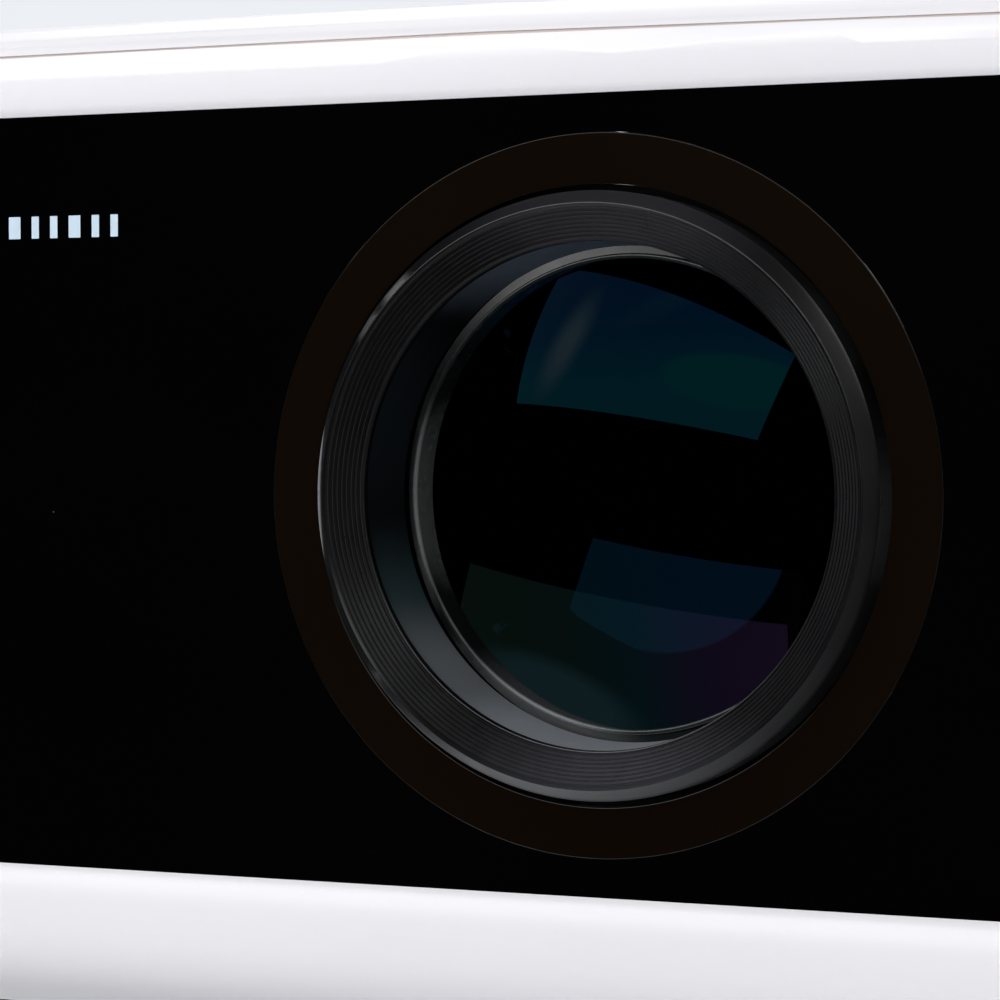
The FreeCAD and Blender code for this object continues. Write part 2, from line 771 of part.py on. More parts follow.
def make_lens():
    """Moving barrel with its ring, glass and pins, and the fixed sleeve round it."""
    pieces = {}
    pieces["front_ring"] = turned(ring_profile(), lens_x, axis_z)
    pieces["glass_retainer"] = turned(retainer_profile(), lens_x, axis_z)
    front_back = glass_seat + glass_edge
    middle_front, middle_back, rear_front, rear_back = 29.0, 34.0, 48.0, 52.0
    pieces["front_lens"] = lens_element(front_curve, 150.0, glass_seat, front_back, clear_radius)
    pieces["middle_lens"] = lens_element(-45.0, -60.0, middle_front, middle_back, 15.0)
    pieces["rear_lens"] = lens_element(90.0, 70.0, rear_front, rear_back, 22.0)
    spacers = []
    for start, end, bore in (
        (front_back, middle_front, clear_radius + slip),
        (middle_back, rear_front, 22.0 + slip),
        (rear_back, rear_back + 4.0, 22.0 + slip),
    ):
        spacers.append(tube(glass_radius, bore, end - start, (lens_x, panel_y + start, axis_z), Y_AXIS))
    pieces["lens_spacers"] = group(spacers)

    bore = glass_radius + slip
    hood = hood_end_radius + 2 * hood_wall + slip
    barrel = rod(barrel_radius, barrel_length - ring_back, (lens_x, panel_y + ring_back, axis_z), Y_AXIS)
    barrel = barrel.cut(rod(bore, barrel_length, (lens_x, panel_y, axis_z), Y_AXIS))
    seat = (lens_x, panel_y + ring_back, axis_z)
    barrel = barrel.cut(rod(hood, hood_length - ring_back + slip, seat, Y_AXIS))
    pin_start = Vector(barrel_radius - 1.5, panel_y + pin_place, 0)
    pin = Part.makeCylinder(pin_radius, collar_radius - 0.5 - pin_start.x, pin_start, X_AXIS)
    hole = Part.makeCylinder(pin_radius + 0.02, 10, pin_start - X_AXIS * 0.02, X_AXIS)
    barrel = barrel.cut(group(around_axis(hole, pin_count, 0)))
    pieces["lens_barrel"] = barrel
    pieces["cam_pins"] = group(around_axis(pin, pin_count, 0))

    inner = barrel_radius + sleeve_clearance
    start = (lens_x, panel_y + sleeve_front, axis_z)
    sleeve = tube(sleeve_radius, inner, sleeve_end - sleeve_front, start, Y_AXIS)
    flange = tube(flange_radius, inner, flange_thickness, start, Y_AXIS)
    sleeve = joined([sleeve, flange])
    sleeve = sleeve.cut(group(around_axis(straight_slot(sleeve_radius + 2), pin_count, 0)))
    notches = [rod(boss_radius + slip, 20, (x, panel_y, z), Y_AXIS) for x, z in screw_places()]
    sleeve = sleeve.cut(group(notches))
    pieces["lens_sleeve"] = sleeve
    return pieces


def make_focus():
    """Focus ring with its toothed sector, the dial with its pinion, and the dial's axle."""
    bore = sleeve_radius + sleeve_clearance
    y0 = panel_y + collar_front
    collar = tube(collar_radius, bore, collar_end - collar_front, (lens_x, y0, axis_z), Y_AXIS)
    reach = math.atan2(dial_z - axis_z, dial_x - lens_x)
    middle = reach + math.radians(focus_turn / 2)
    count = 26
    shift = round(middle / (2 * math.pi / ring_teeth)) * 2 * math.pi / ring_teeth
    offset = reach - round(reach / (2 * math.pi / ring_teeth)) * 2 * math.pi / ring_teeth
    rim = gear_sector(
        ring_teeth, count, bore, (lens_x, axis_z), panel_y + gear_front, gear_width, shift + offset
    )
    focus_ring = joined([collar, rim])
    focus_ring = focus_ring.cut(group(around_axis(cam_slot(bore - 2, collar_radius + 2), pin_count, 0)))

    spread = 2 * math.pi / pinion_teeth
    back = reach + math.pi
    pinion = gear_sector(
        pinion_teeth,
        pinion_teeth,
        axle_radius + axle_clearance,
        (dial_x, dial_z),
        panel_y + gear_front + 0.5,
        gear_width - 1,
        back + spread / 2,
    )
    y1 = panel_y + dial_front
    grip_radius = 0.8
    wheel = rod(dial_radius, dial_width, (dial_x, y1, dial_z), Y_AXIS)
    wheel = wheel.makeFillet(0.8, [e for e in wheel.Edges if e.Length > 20 and e.Closed])
    grips = []
    for i in range(dial_grips):
        a = 2 * math.pi * i / dial_grips
        r = dial_radius + 0.35
        grips.append(
            rod(grip_radius, dial_width, (dial_x + r * math.cos(a), y1, dial_z + r * math.sin(a)), Y_AXIS)
        )
    wheel = wheel.cut(group(grips))
    hub_end = gear_front + 0.5
    hub = rod(8.0, hub_end - dial_front - dial_width, (dial_x, y1 + dial_width, dial_z), Y_AXIS)
    wheel = joined([wheel, hub, pinion])
    wheel = wheel.cut(rod(axle_radius + axle_clearance, 60, (dial_x, panel_y + 20, dial_z), Y_AXIS))
    start = dial_front - 5.0
    end = gear_front + gear_width + 4.5
    axle = rod(axle_radius, end - start, (dial_x, panel_y + start, dial_z), Y_AXIS)
    return {"focus_ring": focus_ring, "focus_dial": wheel, "dial_axle": axle}


# ---- Optical engine ------------------------------------------------------------------------------
def make_engine():
    """Light box with its mirror, panel, plates, light cone, lamp and heat sink."""
    z0, z1 = axis_z - engine_half_height, axis_z + engine_half_height
    t = engine_wall
    base = block(engine_left, engine_right, engine_front, engine_rear, z0, z1 - t)
    base = base.cut(block(engine_left + t, engine_right - t, engine_front + t, engine_rear - t, z0 + t, z1))
    spigot = tube(sleeve_radius + 4, sleeve_radius + 0.3, engine_front - panel_y - collar_end - 0.3,
                  (lens_x, panel_y + collar_end + 0.3, axis_z), Y_AXIS)
    base = base.fuse(spigot).cut(rod(barrel_radius + 1, 20, (lens_x, engine_front - 5, axis_z), Y_AXIS))
    half_w, half_h = lcd_width / 2 - 3, lcd_height / 2 - 3
    light = block(engine_left - 1, engine_left + t + 1, mirror_y - half_w, mirror_y + half_w,
                  axis_z - half_h, axis_z + half_h)
    base = base.cut(light)
    base = base.cut(rod(20, 20, (engine_right - 10, mirror_y + 10, axis_z), X_AXIS))
    cover = block(engine_left, engine_right, engine_front, engine_rear, z1 - t, z1)
    cover = cover.makeFillet(2.0, [e for e in cover.Edges if abs(e.Vertexes[0].Z - e.Vertexes[-1].Z) > 1])
    for x in (engine_left + 4, engine_right - 4):
        for y in (engine_front + 5, engine_rear - 5):
            post = rod(3.5, 2 * engine_half_height - 2 * t, (x, y, z0 + t), Z_AXIS)
            base = base.fuse(post).cut(rod(1.25, 12, (x, y, z1 - t - 11), Z_AXIS))
            cover = cover.cut(rod(1.6, t + 2, (x, y, z1 - t - 1), Z_AXIS))

    mirror = block(-mirror_half * math.sqrt(2), mirror_half * math.sqrt(2), 0, mirror_thickness,
                   -engine_half_height + t + 3, engine_half_height - t - 3)
    mirror.rotate(Vector(0, 0, 0), Z_AXIS, -45)
    mirror.translate(Vector(lens_x, mirror_y, axis_z))

    low = z0 + t
    high = z1 - t
    rails = []
    plates = (
        (lcd_x, lcd_thickness), (field_fresnel_x, fresnel_thickness),
        (collimator_x, fresnel_thickness), (heat_glass_x, 1.1),
    )
    for x, width in plates:
        for y in (mirror_y - lcd_width / 2 - 1.6, mirror_y + lcd_width / 2 - 1.5):
            for x0 in (x - 1.7, x + width + 0.2):
                rails.append(block(x0, x0 + 1.5, y, y + 3.1, low - 0.5, high))
    inner = block(engine_left + 1, engine_right - 1, engine_front + 1, engine_rear - 1, z0 + 1, z1 - t)
    base = joined([base] + [r.common(inner) for r in rails])

    lcd = block(lcd_x, lcd_x + lcd_thickness, mirror_y - lcd_width / 2, mirror_y + lcd_width / 2,
                axis_z - lcd_height / 2, axis_z + lcd_height / 2)
    window = block(lcd_x - 1, lcd_x + 1.0, mirror_y - lcd_view_width / 2, mirror_y + lcd_view_width / 2,
                   axis_z - lcd_view_height / 2, axis_z + lcd_view_height / 2)
    far = window.copy()
    far.translate(Vector(lcd_thickness, 0, 0))
    lcd = lcd.cut(window).cut(far)

    fresnels = []
    for x in (field_fresnel_x, collimator_x):
        plate = block(x, x + fresnel_thickness, mirror_y - lcd_width / 2, mirror_y + lcd_width / 2,
                      axis_z - lcd_height / 2, axis_z + lcd_height / 2)
        for r in range(6, 28, 4):
            ring = tube(r + 1.0, r, 0.5, (x, mirror_y, axis_z), X_AXIS)
            plate = plate.cut(ring)
        fresnels.append(plate)
    heat_glass = block(heat_glass_x, heat_glass_x + 1.1, mirror_y - lcd_width / 2, mirror_y + lcd_width / 2,
                       axis_z - lcd_height / 2, axis_z + lcd_height / 2)

    def cone_wire(x, wide, high_, grow):
        w, h = wide / 2 + grow, high_ / 2 + grow
        points = [Vector(x, mirror_y - w, axis_z - h), Vector(x, mirror_y + w, axis_z - h),
                  Vector(x, mirror_y + w, axis_z + h), Vector(x, mirror_y - w, axis_z + h)]
        return Part.makePolygon(points + points[:1])

    wide_w, wide_h = lcd_width - 10, lcd_height - 8
    start = engine_left - slip
    outer = Part.makeLoft([cone_wire(start, wide_w, wide_h, cone_wall),
                           cone_wire(cone_end_x, cone_small, cone_small, cone_wall)], True, True)
    inner_cone = Part.makeLoft([cone_wire(start + 0.01, wide_w, wide_h, 0),
                                cone_wire(cone_end_x - 0.01, cone_small, cone_small, 0)], True, True)
    lip = block(start - 2, start, mirror_y - wide_w / 2 - 5, mirror_y + wide_w / 2 + 5,
                axis_z - wide_h / 2 - 3, axis_z + wide_h / 2 + 3)
    cone = joined([outer, lip]).cut(inner_cone)
    lip_hole = block(start - 3, start + 1, mirror_y - wide_w / 2 + 2.4, mirror_y + wide_w / 2 - 2.4,
                     axis_z - wide_h / 2 + 1, axis_z + wide_h / 2 - 1)
    cone = cone.cut(lip_hole)

    ball = Part.makeSphere(22.0, Vector(cone_end_x - 3 - 16.0, mirror_y, axis_z))
    zone = block(cone_end_x - 3, cone_end_x + 10, mirror_y - 15, mirror_y + 15, axis_z - 15, axis_z + 15)
    bead = ball.common(zone)
    rim = rod(16.0, 3.0, (cone_end_x - 6, mirror_y, axis_z), X_AXIS)
    condenser = joined([bead, rim]).cut(rod(9.0, 1.0, (cone_end_x - 6, mirror_y, axis_z), X_AXIS))

    board = block(led_x - 2, led_x, mirror_y - led_board / 2, mirror_y + led_board / 2,
                  axis_z - led_board / 2, axis_z + led_board / 2)
    chip = block(led_x - 0.5, led_x + 1.5, mirror_y - 10, mirror_y + 10, axis_z - 10, axis_z + 10)
    frame = tube(18.5, 14.0, cone_end_x - 6 - led_x, (led_x - 0.01, mirror_y, axis_z), X_AXIS)
    led = joined([board, chip, frame])

    half = heatsink_size / 2
    x1 = led_x - 2
    sink = [block(x1 - 6, x1, mirror_y - half, mirror_y + half, axis_z - half, axis_z + half)]
    pitch = (heatsink_size - fin_thickness) / (fin_count - 1)
    for i in range(fin_count):
        z = axis_z - half + i * pitch
        sink.append(block(heatsink_x, x1 - 5.5, mirror_y - half, mirror_y + half, z, z + fin_thickness))
    return {
        "engine_base": base,
        "engine_cover": cover,
        "fold_mirror": mirror,
        "lcd_panel": lcd,
        "fresnel_lenses": group(fresnels),
        "heat_glass": heat_glass,
        "light_cone": cone,
        "condenser_lens": condenser,
        "led_module": led,
        "led_heatsink": joined(sink),
    }


# ---- Fans, speakers and boards -------------------------------------------------------------------
def fan(size, x, y, z):
    """Square axial fan across X: its frame and its bladed rotor."""
    half = size / 2
    bore = half - fan_frame_wall
    frame = plate_x(size, size, 4.0, (x, y, z), fan_depth).cut(rod(bore, fan_depth, (x, y, z), X_AXIS))
    hub = size * 0.2
    frame = frame.fuse(rod(hub, 2.0, (x, y, z), X_AXIS))
    spokes = []
    for i in range(4):
        spoke = block(x, x + 2.0, y - 1.5, y + 1.5, z + hub - 1, z + bore + 1)
        spoke.rotate(Vector(x, y, z), X_AXIS, 45 + 90 * i)
        spokes.append(spoke)
    frame = joined([frame] + spokes)
    corner = half - 4.5
    for dy in (-corner, corner):
        for dz in (-corner, corner):
            frame = frame.cut(rod(2.0, fan_depth + 2, (x - 1, y + dy, z + dz), X_AXIS))
    start = x + 2.5
    depth = fan_depth - 3.5
    rotor = [rod(hub, depth, (start, y, z), X_AXIS)]
    for i in range(fan_blades):
        blade = block(start + 1, start + depth - 1, y - 0.8, y + 0.8, z + hub - 1.5, z + bore - 1.0)
        blade.rotate(Vector(start + depth / 2, y, z), Z_AXIS, 38)
        blade = blade.common(rod(bore - 1.0, depth - 0.4, (start + 0.2, y, z), X_AXIS))
        blade.rotate(Vector(x, y, z), X_AXIS, 360.0 * i / fan_blades)
        rotor.append(blade)
    return frame, joined(rotor)


def speaker(side):
    """Round side-firing speaker: basket with magnet, and cone. side is -1 or 1."""
    face_x = side_x - wall - 3.0
    basket = [
        tube(speaker_radius, speaker_radius - 2.0, 8.0, (face_x - 8, speaker_y, speaker_z), X_AXIS),
        rod(speaker_radius - 1.0, 2.0, (face_x - 10, speaker_y, speaker_z), X_AXIS),
        rod(12.0, 8.0, (face_x - 18, speaker_y, speaker_z), X_AXIS),
    ]
    cone = [
        tube(speaker_radius - 2.2, speaker_radius - 6.0, 1.0, (face_x - 2, speaker_y, speaker_z), X_AXIS),
        Part.makeCone(6.0, speaker_radius - 5.5, 5.0, Vector(face_x - 7, speaker_y, speaker_z), X_AXIS).cut(
            Part.makeCone(5.0, speaker_radius - 6.5, 5.01, Vector(face_x - 6.2, speaker_y, speaker_z), X_AXIS)
        ),
    ]
    basket, cone = joined(basket), joined(cone)
    if side < 0:
        plane = (Vector(0, 0, 0), X_AXIS)
        basket, cone = basket.mirror(*plane), cone.mirror(*plane)
    return basket, cone


def make_inside():
    """Fans, speakers, boards and wiring."""
    (exhaust_frame, exhaust_rotor), (intake_frame, intake_rotor) = [
        fan(size, x, y, z) for x, size, y, z in fan_places()
    ]
    baskets, cones = zip(*[speaker(side) for side in (-1, 1)])

    main = block(-64, 108, board_y, board_y + board_thickness, 16, 100)
    chips = [block(x - w, x + w, board_y - h, board_y + 0.01, z - w, z + w)
             for x, z, w, h in ((20, 78, 9, 2.4), (60, 80, 6, 1.6), (-30, 74, 7, 3.0), (88, 74, 5, 6.0))]
    main = joined([main] + chips)

    power = block(-122, -26, -80, -46, 16, 16 + board_thickness)
    cans = [rod(w, h, (x, y, 16 + board_thickness - 0.01), Z_AXIS) for x, y, w, h in
            ((-110, -68, 9.5, 24), (-56, -68, 9, 28), (-40, -54, 4, 14), (-66, -54, 3.5, 12))]
    bricks = [block(x - w, x + w, y - d, y + d, 16, 16 + h) for x, y, w, d, h in
              ((-84, -64, 12, 13, 20), (-36, -70, 6, 6, 16), (-112, -52, 6, 4, 15))]
    posts = [rod(3.0, 16.1 - floor_z, (x, y, floor_z), Z_AXIS) for x in (-118, -30) for y in (-76, -50)]
    power = joined([power] + cans + bricks + posts)

    board_top = case_top - wall - 7.0
    corner = (pad_x, pad_y, board_top - board_thickness)
    keys = plate_z(pad_width - 12, pad_depth - 6, 6.0, corner, board_thickness)
    switch_at = [(pad_x, pad_y), (pad_x - key_offset, pad_y), (pad_x + key_offset, pad_y)]
    middle = (nav_inner + nav_outer) / 2
    switch_at += [(pad_x + dx * middle, pad_y + dy * middle) for dx, dy in ((1, 0), (-1, 0), (0, 1), (0, -1))]
    switches = [block(x - 3, x + 3, y - 3, y + 3, board_top - 0.01, board_top + 1.5) for x, y in switch_at]
    switches += [rod(1.6, 1.0, (x, y, board_top + 1.4), Z_AXIS) for x, y in switch_at]
    key_board = joined([keys] + switches)

    lead = lead_path([(-66, -54, 29.95), (-66, -48, 60), (-80, -40, 74),
                      (led_x + 0.8, mirror_y - led_board / 2, axis_z + 14)], 1.4)
    spur = lead_path([(-110, -68, 41.7), (-110, -66, 62), (-112, speaker_y, speaker_z),
                      (wall + 18.0 + 3.0 - side_x, speaker_y, speaker_z)], 1.2)
    return {
        "exhaust_fan_frame": exhaust_frame,
        "exhaust_fan_rotor": exhaust_rotor,
        "intake_fan_frame": intake_frame,
        "intake_fan_rotor": intake_rotor,
        "speaker_frames": group(baskets),
        "speaker_cones": group(cones),
        "main_board": main,
        "power_board": power,
        "key_board": key_board,
        "wire_leads": group([lead, spur]),
    }


def lead_path(points, radius):
    """Round lead along straight runs joined by tangent arcs."""
    points = [Vector(*p) for p in points]
    edges, last = [], points[0]
    for before, corner, after in zip(points, points[1:], points[2:]):
        into, out = (corner - before).normalize(), (after - corner).normalize()
        turn = into.getAngle(out)
        cut = 0.45 * min(before.distanceToPoint(corner), corner.distanceToPoint(after))
        start, end = corner - into * cut, corner + out * cut
        bend = cut / math.tan(turn / 2)
        inward = (out - into).normalize()
        centre = corner + inward * (bend / math.cos(turn / 2))
        edges.append(Part.LineSegment(last, start).toShape())
        edges.append(Part.Arc(start, centre - inward * bend, end).toShape())
        last = end
    edges.append(Part.LineSegment(last, points[-1]).toShape())
    path = Part.Wire(edges)
    across = Part.Wire(Part.makeCircle(radius, points[0], (points[1] - points[0]).normalize()))
    return path.makePipeShell([across], True, False)


# ---- Side grilles, rear panel and sockets ----------------------------------------------------------
def grille(x):
    """Slotted side grille that fits the case's side opening, from x to the right."""
    width, height = grille_rear - grille_front, grille_top - grille_bottom
    middle_y, middle_z = (grille_front + grille_rear) / 2, (grille_bottom + grille_top) / 2
    thick = wall - 0.3
    plate = plate_x(width - 2 * joint_gap, height - 2 * joint_gap, grille_corner - joint_gap,
                    (x, middle_y, middle_z), thick)

    def slot(u, z, length):
        return plate_x(length, slot_height, slot_height / 2 - 0.01, (x - 1, u, z), thick + 2)

    border = grille_border
    across = (grille_front + border, grille_rear - border)
    upright = (grille_bottom + border, grille_top - border)
    cutters = slots(across, upright, grille_columns, grille_rib, slot)
    return plate.cut(group(cutters))


def make_sides():
    """Fixed outlet grille on the left, pull-off filter cover and its foam on the right."""
    left = grille(-side_x + 0.3)
    right = grille(side_x - wall)
    tab = plate_x(26, 5, 2.4, (side_x - 0.31, grille_rear - 24, grille_bottom + 9), 0.31)
    face = side_x - wall - 0.5
    foam = block(face - filter_thickness, face, mirror_y - 6, mirror_y + 66,
                 grille_bottom + 2, grille_top - 2)
    return {"exhaust_grille": left, "filter_cover": joined([right, tab]), "dust_filter": foam}


def socket_cup(width, height, radius, x, y0, y1, rim):
    """Metal socket shell: a rounded box open at the back of the projector."""
    outer = plate_y(width, height, radius, (x, y0, socket_z), y1 - y0)
    corner = max(radius - rim, 0.2)
    return outer.cut(plate_y(width - 2 * rim, height - 2 * rim, corner, (x, y0 + 1.5, socket_z), 30))


def make_rear():
    """Rear panel and every socket in it."""
    z = rear_bottom + rear_height / 2
    panel_back = rear_y - 0.3
    panel_front = rear_y - wall
    panel = plate_y(rear_width - 2 * joint_gap, rear_height - 2 * joint_gap, rear_corner - joint_gap,
                    (0, panel_front, z), panel_back - panel_front)
    y1 = panel_back - 0.2
    gap = 0.25
    hdmi, usb, jacks, holes = [], [], [], []
    for x in hdmi_places:
        cup = socket_cup(15.2, 6.0, 1.6, x, socket_front, y1, 0.5)
        tongue = block(x - 5.5, x + 5.5, socket_front + 1, y1 - 2.5, socket_z - 0.6, socket_z + 0.6)
        hdmi.append(cup.fuse(tongue))
        holes.append(plate_y(15.2 + 2 * gap, 6.0 + 2 * gap, 1.6 + gap, (x, panel_front - 1, socket_z), 10))
    for x in usb_places:
        cup = socket_cup(13.4, 6.0, 0.6, x, socket_front, y1, 0.45)
        tongue = block(x - 5.6, x + 5.6, socket_front + 1, y1 - 2.0, socket_z + 0.4, socket_z + 2.2)
        usb.append(cup.fuse(tongue))
        holes.append(plate_y(13.4 + 2 * gap, 6.0 + 2 * gap, 0.6 + gap, (x, panel_front - 1, socket_z), 10))
    for x in jack_places:
        barrel = joined([
            block(x - 4.5, x + 4.5, socket_front, socket_front + 9, socket_z - 4.5, socket_z + 4.5),
            rod(3.6, y1 - socket_front, (x, socket_front, socket_z), Y_AXIS),
        ])
        jacks.append(barrel.cut(rod(jack_radius, jack_depth, (x, y1 - jack_depth, socket_z), Y_AXIS)))
        holes.append(rod(3.6 + gap, 10, (x, panel_front - 1, socket_z), Y_AXIS))
    inlet = plate_y(20, 13, 6.4, (inlet_x, rear_y - 20, socket_z), 19.5)
    inlet = inlet.cut(plate_y(15.6, 8.8, 4.3, (inlet_x, rear_y - 15, socket_z), 20))
    pins = [rod(1.2, 9.6, (inlet_x + dx, rear_y - 15.5, socket_z), Y_AXIS) for dx in (-4.3, 4.3)]
    inlet = joined([inlet] + pins)
    holes.append(plate_y(20 + 2 * gap, 13 + 2 * gap, 6.4 + gap, (inlet_x, panel_front - 1, socket_z), 10))
    window = plate_y(12, 7, 3.0, (ir_x, panel_front - 2, socket_z), panel_back - panel_front + 2)
    holes.append(plate_y(12.2, 7.2, 3.1, (ir_x, panel_front - 1, socket_z), 10))
    return {
        "rear_panel": panel.cut(group(holes)),
        "data_sockets": group(hdmi + usb),
        "jack_sockets": group(jacks),
        "power_inlet": inlet,
        "ir_window": window,
    }


# ---- Keys, feet, inserts and screws ----------------------------------------------------------------
def make_keys():
    """Seven keys with captive flanges and stems over their switches."""
    roof = arch_height(case_top, crown_radius, pad_x - key_offset - round_key_radius)
    under = roof - wall - 0.3
    stem_end = case_top - wall - 7.0 + 2.4 + key_travel + 0.2
    crown = under_arch(case_top + key_proud, crown_radius)
    caps = key_shapes(0, under - 0.01, case_top + 3)
    flanges = key_shapes(0.35, stem_end, under)
    return {name: joined([cap.common(crown), flanges[name]]) for name, cap in caps.items()}


def insert_places():
    """Threaded inserts in the floor: (x, y, bore radius, depth)."""
    places = [(0.0, 0.0, tripod_radius, tripod_depth)]
    for x in (-ceiling_x, ceiling_x):
        for y in (-ceiling_y, ceiling_y):
            places.append((x, y, ceiling_radius, ceiling_depth))
    return places


def make_feet():
    """Rubber feet, the height-adjusting front foot and the brass inserts."""
    rear = []
    for x in (-rear_foot_x, rear_foot_x):
        foot = rod(rear_foot_radius, foot_height + 1.0, (x, rear_foot_y, 0), Z_AXIS)
        rear.append(foot.makeFillet(1.0, level_edges(foot, -0.1, 0.1)))
    pad_height = 2.2
    pad = rod(foot_pad_radius, pad_height, (0, front_foot_y, 0), Z_AXIS)
    pad = pad.makeFillet(0.7, level_edges(pad, -0.1, 0.1))
    pad = pad.cut(rod(3.1, 1.2, (0, front_foot_y, pad_height - 1.2), Z_AXIS))
    disc = rod(foot_disc_radius, foot_height - pad_height - 0.2, (0, front_foot_y, pad_height), Z_AXIS)
    grips = []
    for i in range(24):
        a = 2 * math.pi * i / 24
        r = foot_disc_radius + 0.5
        grips.append(rod(0.9, 5, (r * math.cos(a), front_foot_y + r * math.sin(a), pad_height - 1), Z_AXIS))
    disc = disc.cut(group(grips))
    stud = rod(foot_stud_radius, foot_stud_length, (0, front_foot_y, pad_height), Z_AXIS)
    pivot = rod(3.0, 1.15, (0, front_foot_y, pad_height - 1.15), Z_AXIS)
    screw = joined([disc, stud, pivot])

    inserts = []
    for x, y, bore, depth in insert_places():
        inserts.append(tube(bore + insert_wall, bore, depth, (x, y, foot_height), Z_AXIS))
    nut_bore = foot_stud_radius + thread_clearance
    nut_base = (0, front_foot_y, foot_height + 0.5)
    inserts.append(tube(foot_stud_radius + insert_wall, nut_bore, 9.5, nut_base, Z_AXIS))
    return {
        "rear_feet": group(rear),
        "front_foot_pad": pad,
        "front_foot_screw": screw,
        "threaded_inserts": group(inserts),
    }


def screw(base, axis, head_radius, length):
    """Cross-head screw whose shank points along the axis from the underside of its head."""
    head = rod(head_radius, 1.8, (0, 0, -1.8), Z_AXIS)
    cross = [block(-1.6, 1.6, -0.4, 0.4, -1.9, -0.8), block(-0.4, 0.4, -1.6, 1.6, -1.9, -0.8)]
    solid = joined([head.cut(joined(cross)), rod(screw_shank, length, (0, 0, -0.01), Z_AXIS)])
    solid.Placement = FreeCAD.Placement(Vector(*base), FreeCAD.Rotation(Z_AXIS, axis))
    return solid


def make_screws():
    """Case screws up through the floor posts and screws that clamp the lens sleeve's flange."""
    screws = [screw((x, y, post_top - 3.0), Z_AXIS, 3.0, 12.0) for x, y in floor_posts()]
    seat = panel_y + sleeve_front + flange_thickness
    screws += [screw((x, seat, z), Vector(0, -1, 0), 5.6, 4.2) for x, z in screw_places()]
    return {"screws": group(screws)}


def main():
    """Builds every node and writes it as a STEP file."""
    os.makedirs("parts", exist_ok=True)
    nodes = {}
    makers = (
        make_casing, make_front, make_lens, make_focus, make_engine, make_inside, make_sides,
        make_rear, make_keys, make_feet, make_screws,
    )
    for make in makers:
        nodes.update(make())
    for name, shape in nodes.items():
        shape.exportStep("parts/%s.step" % name)
        print(name, shape.isValid(), len(shape.Solids), round(shape.Volume / 1000.0, 2))
    print(len(nodes), "nodes")


main()
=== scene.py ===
"""Looks of a home projector: finishes, turned lens parts, keys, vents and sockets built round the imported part.

Sizes in the dataclasses are millimetres; the mesh helpers turn them into metres. Places come from the boxes
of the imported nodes. +Z is up, the lens looks along -Y and +X is to the right of someone facing it.
"""

import json
import logging
import math
from dataclasses import dataclass, field
from enum import Enum
from typing import Callable, Iterable, Sequence

import bmesh
import bpy
import numpy as np
from mathutils import Matrix, Vector


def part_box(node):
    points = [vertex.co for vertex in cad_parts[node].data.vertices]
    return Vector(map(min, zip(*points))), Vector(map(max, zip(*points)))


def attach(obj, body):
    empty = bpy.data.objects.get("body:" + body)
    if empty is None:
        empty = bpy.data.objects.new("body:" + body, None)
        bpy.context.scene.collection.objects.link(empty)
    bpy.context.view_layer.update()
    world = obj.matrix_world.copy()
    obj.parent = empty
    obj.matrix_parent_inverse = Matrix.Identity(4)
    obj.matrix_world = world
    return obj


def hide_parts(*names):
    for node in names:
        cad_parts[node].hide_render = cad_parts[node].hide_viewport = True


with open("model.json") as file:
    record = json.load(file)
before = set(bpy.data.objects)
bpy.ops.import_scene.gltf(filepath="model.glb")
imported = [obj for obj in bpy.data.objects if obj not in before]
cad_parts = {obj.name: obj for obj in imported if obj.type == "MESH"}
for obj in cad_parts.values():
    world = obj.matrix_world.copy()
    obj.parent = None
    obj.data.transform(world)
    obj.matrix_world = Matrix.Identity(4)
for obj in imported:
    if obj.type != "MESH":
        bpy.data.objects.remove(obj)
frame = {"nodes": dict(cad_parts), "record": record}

LOG = logging.getLogger("projector")
MM = 0.001
FULL_TURN = 2 * math.pi
FINE_TURN = 320
Lift = Callable[[np.ndarray, np.ndarray, np.ndarray], np.ndarray]


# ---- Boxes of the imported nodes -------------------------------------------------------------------
@dataclass(frozen=True)
class Box:
    """A node's box in millimetres.

    Attributes:
        low: lowest corner.
        high: highest corner.
    """

    low: np.ndarray
    high: np.ndarray

    @property
    def centre(self) -> np.ndarray:
        """Middle of the box."""
        return (self.low + self.high) / 2

    @property
    def size(self) -> np.ndarray:
        """Length of the box along each axis."""
        return self.high - self.low


def box_of(node: str) -> Box:
    """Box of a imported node.

    Args:
        node: the node's name.

    Returns:
        Its box in millimetres.
    """
    low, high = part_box(node)
    return Box(np.array(low) / MM, np.array(high) / MM)


# ---- Finishes ------------------------------------------------------------------------------------
class Pattern(Enum):
    """Fine relief that a finish carries."""

    PEEL = "slow ripple of a polished mould"
    GRAIN = "spark-eroded grain"
    BRUSHED = "fine lines along X"
    FOAM = "open cells"
    FIBRE = "pressed fibres"
    TRACKS = "copper tracks under solder mask"


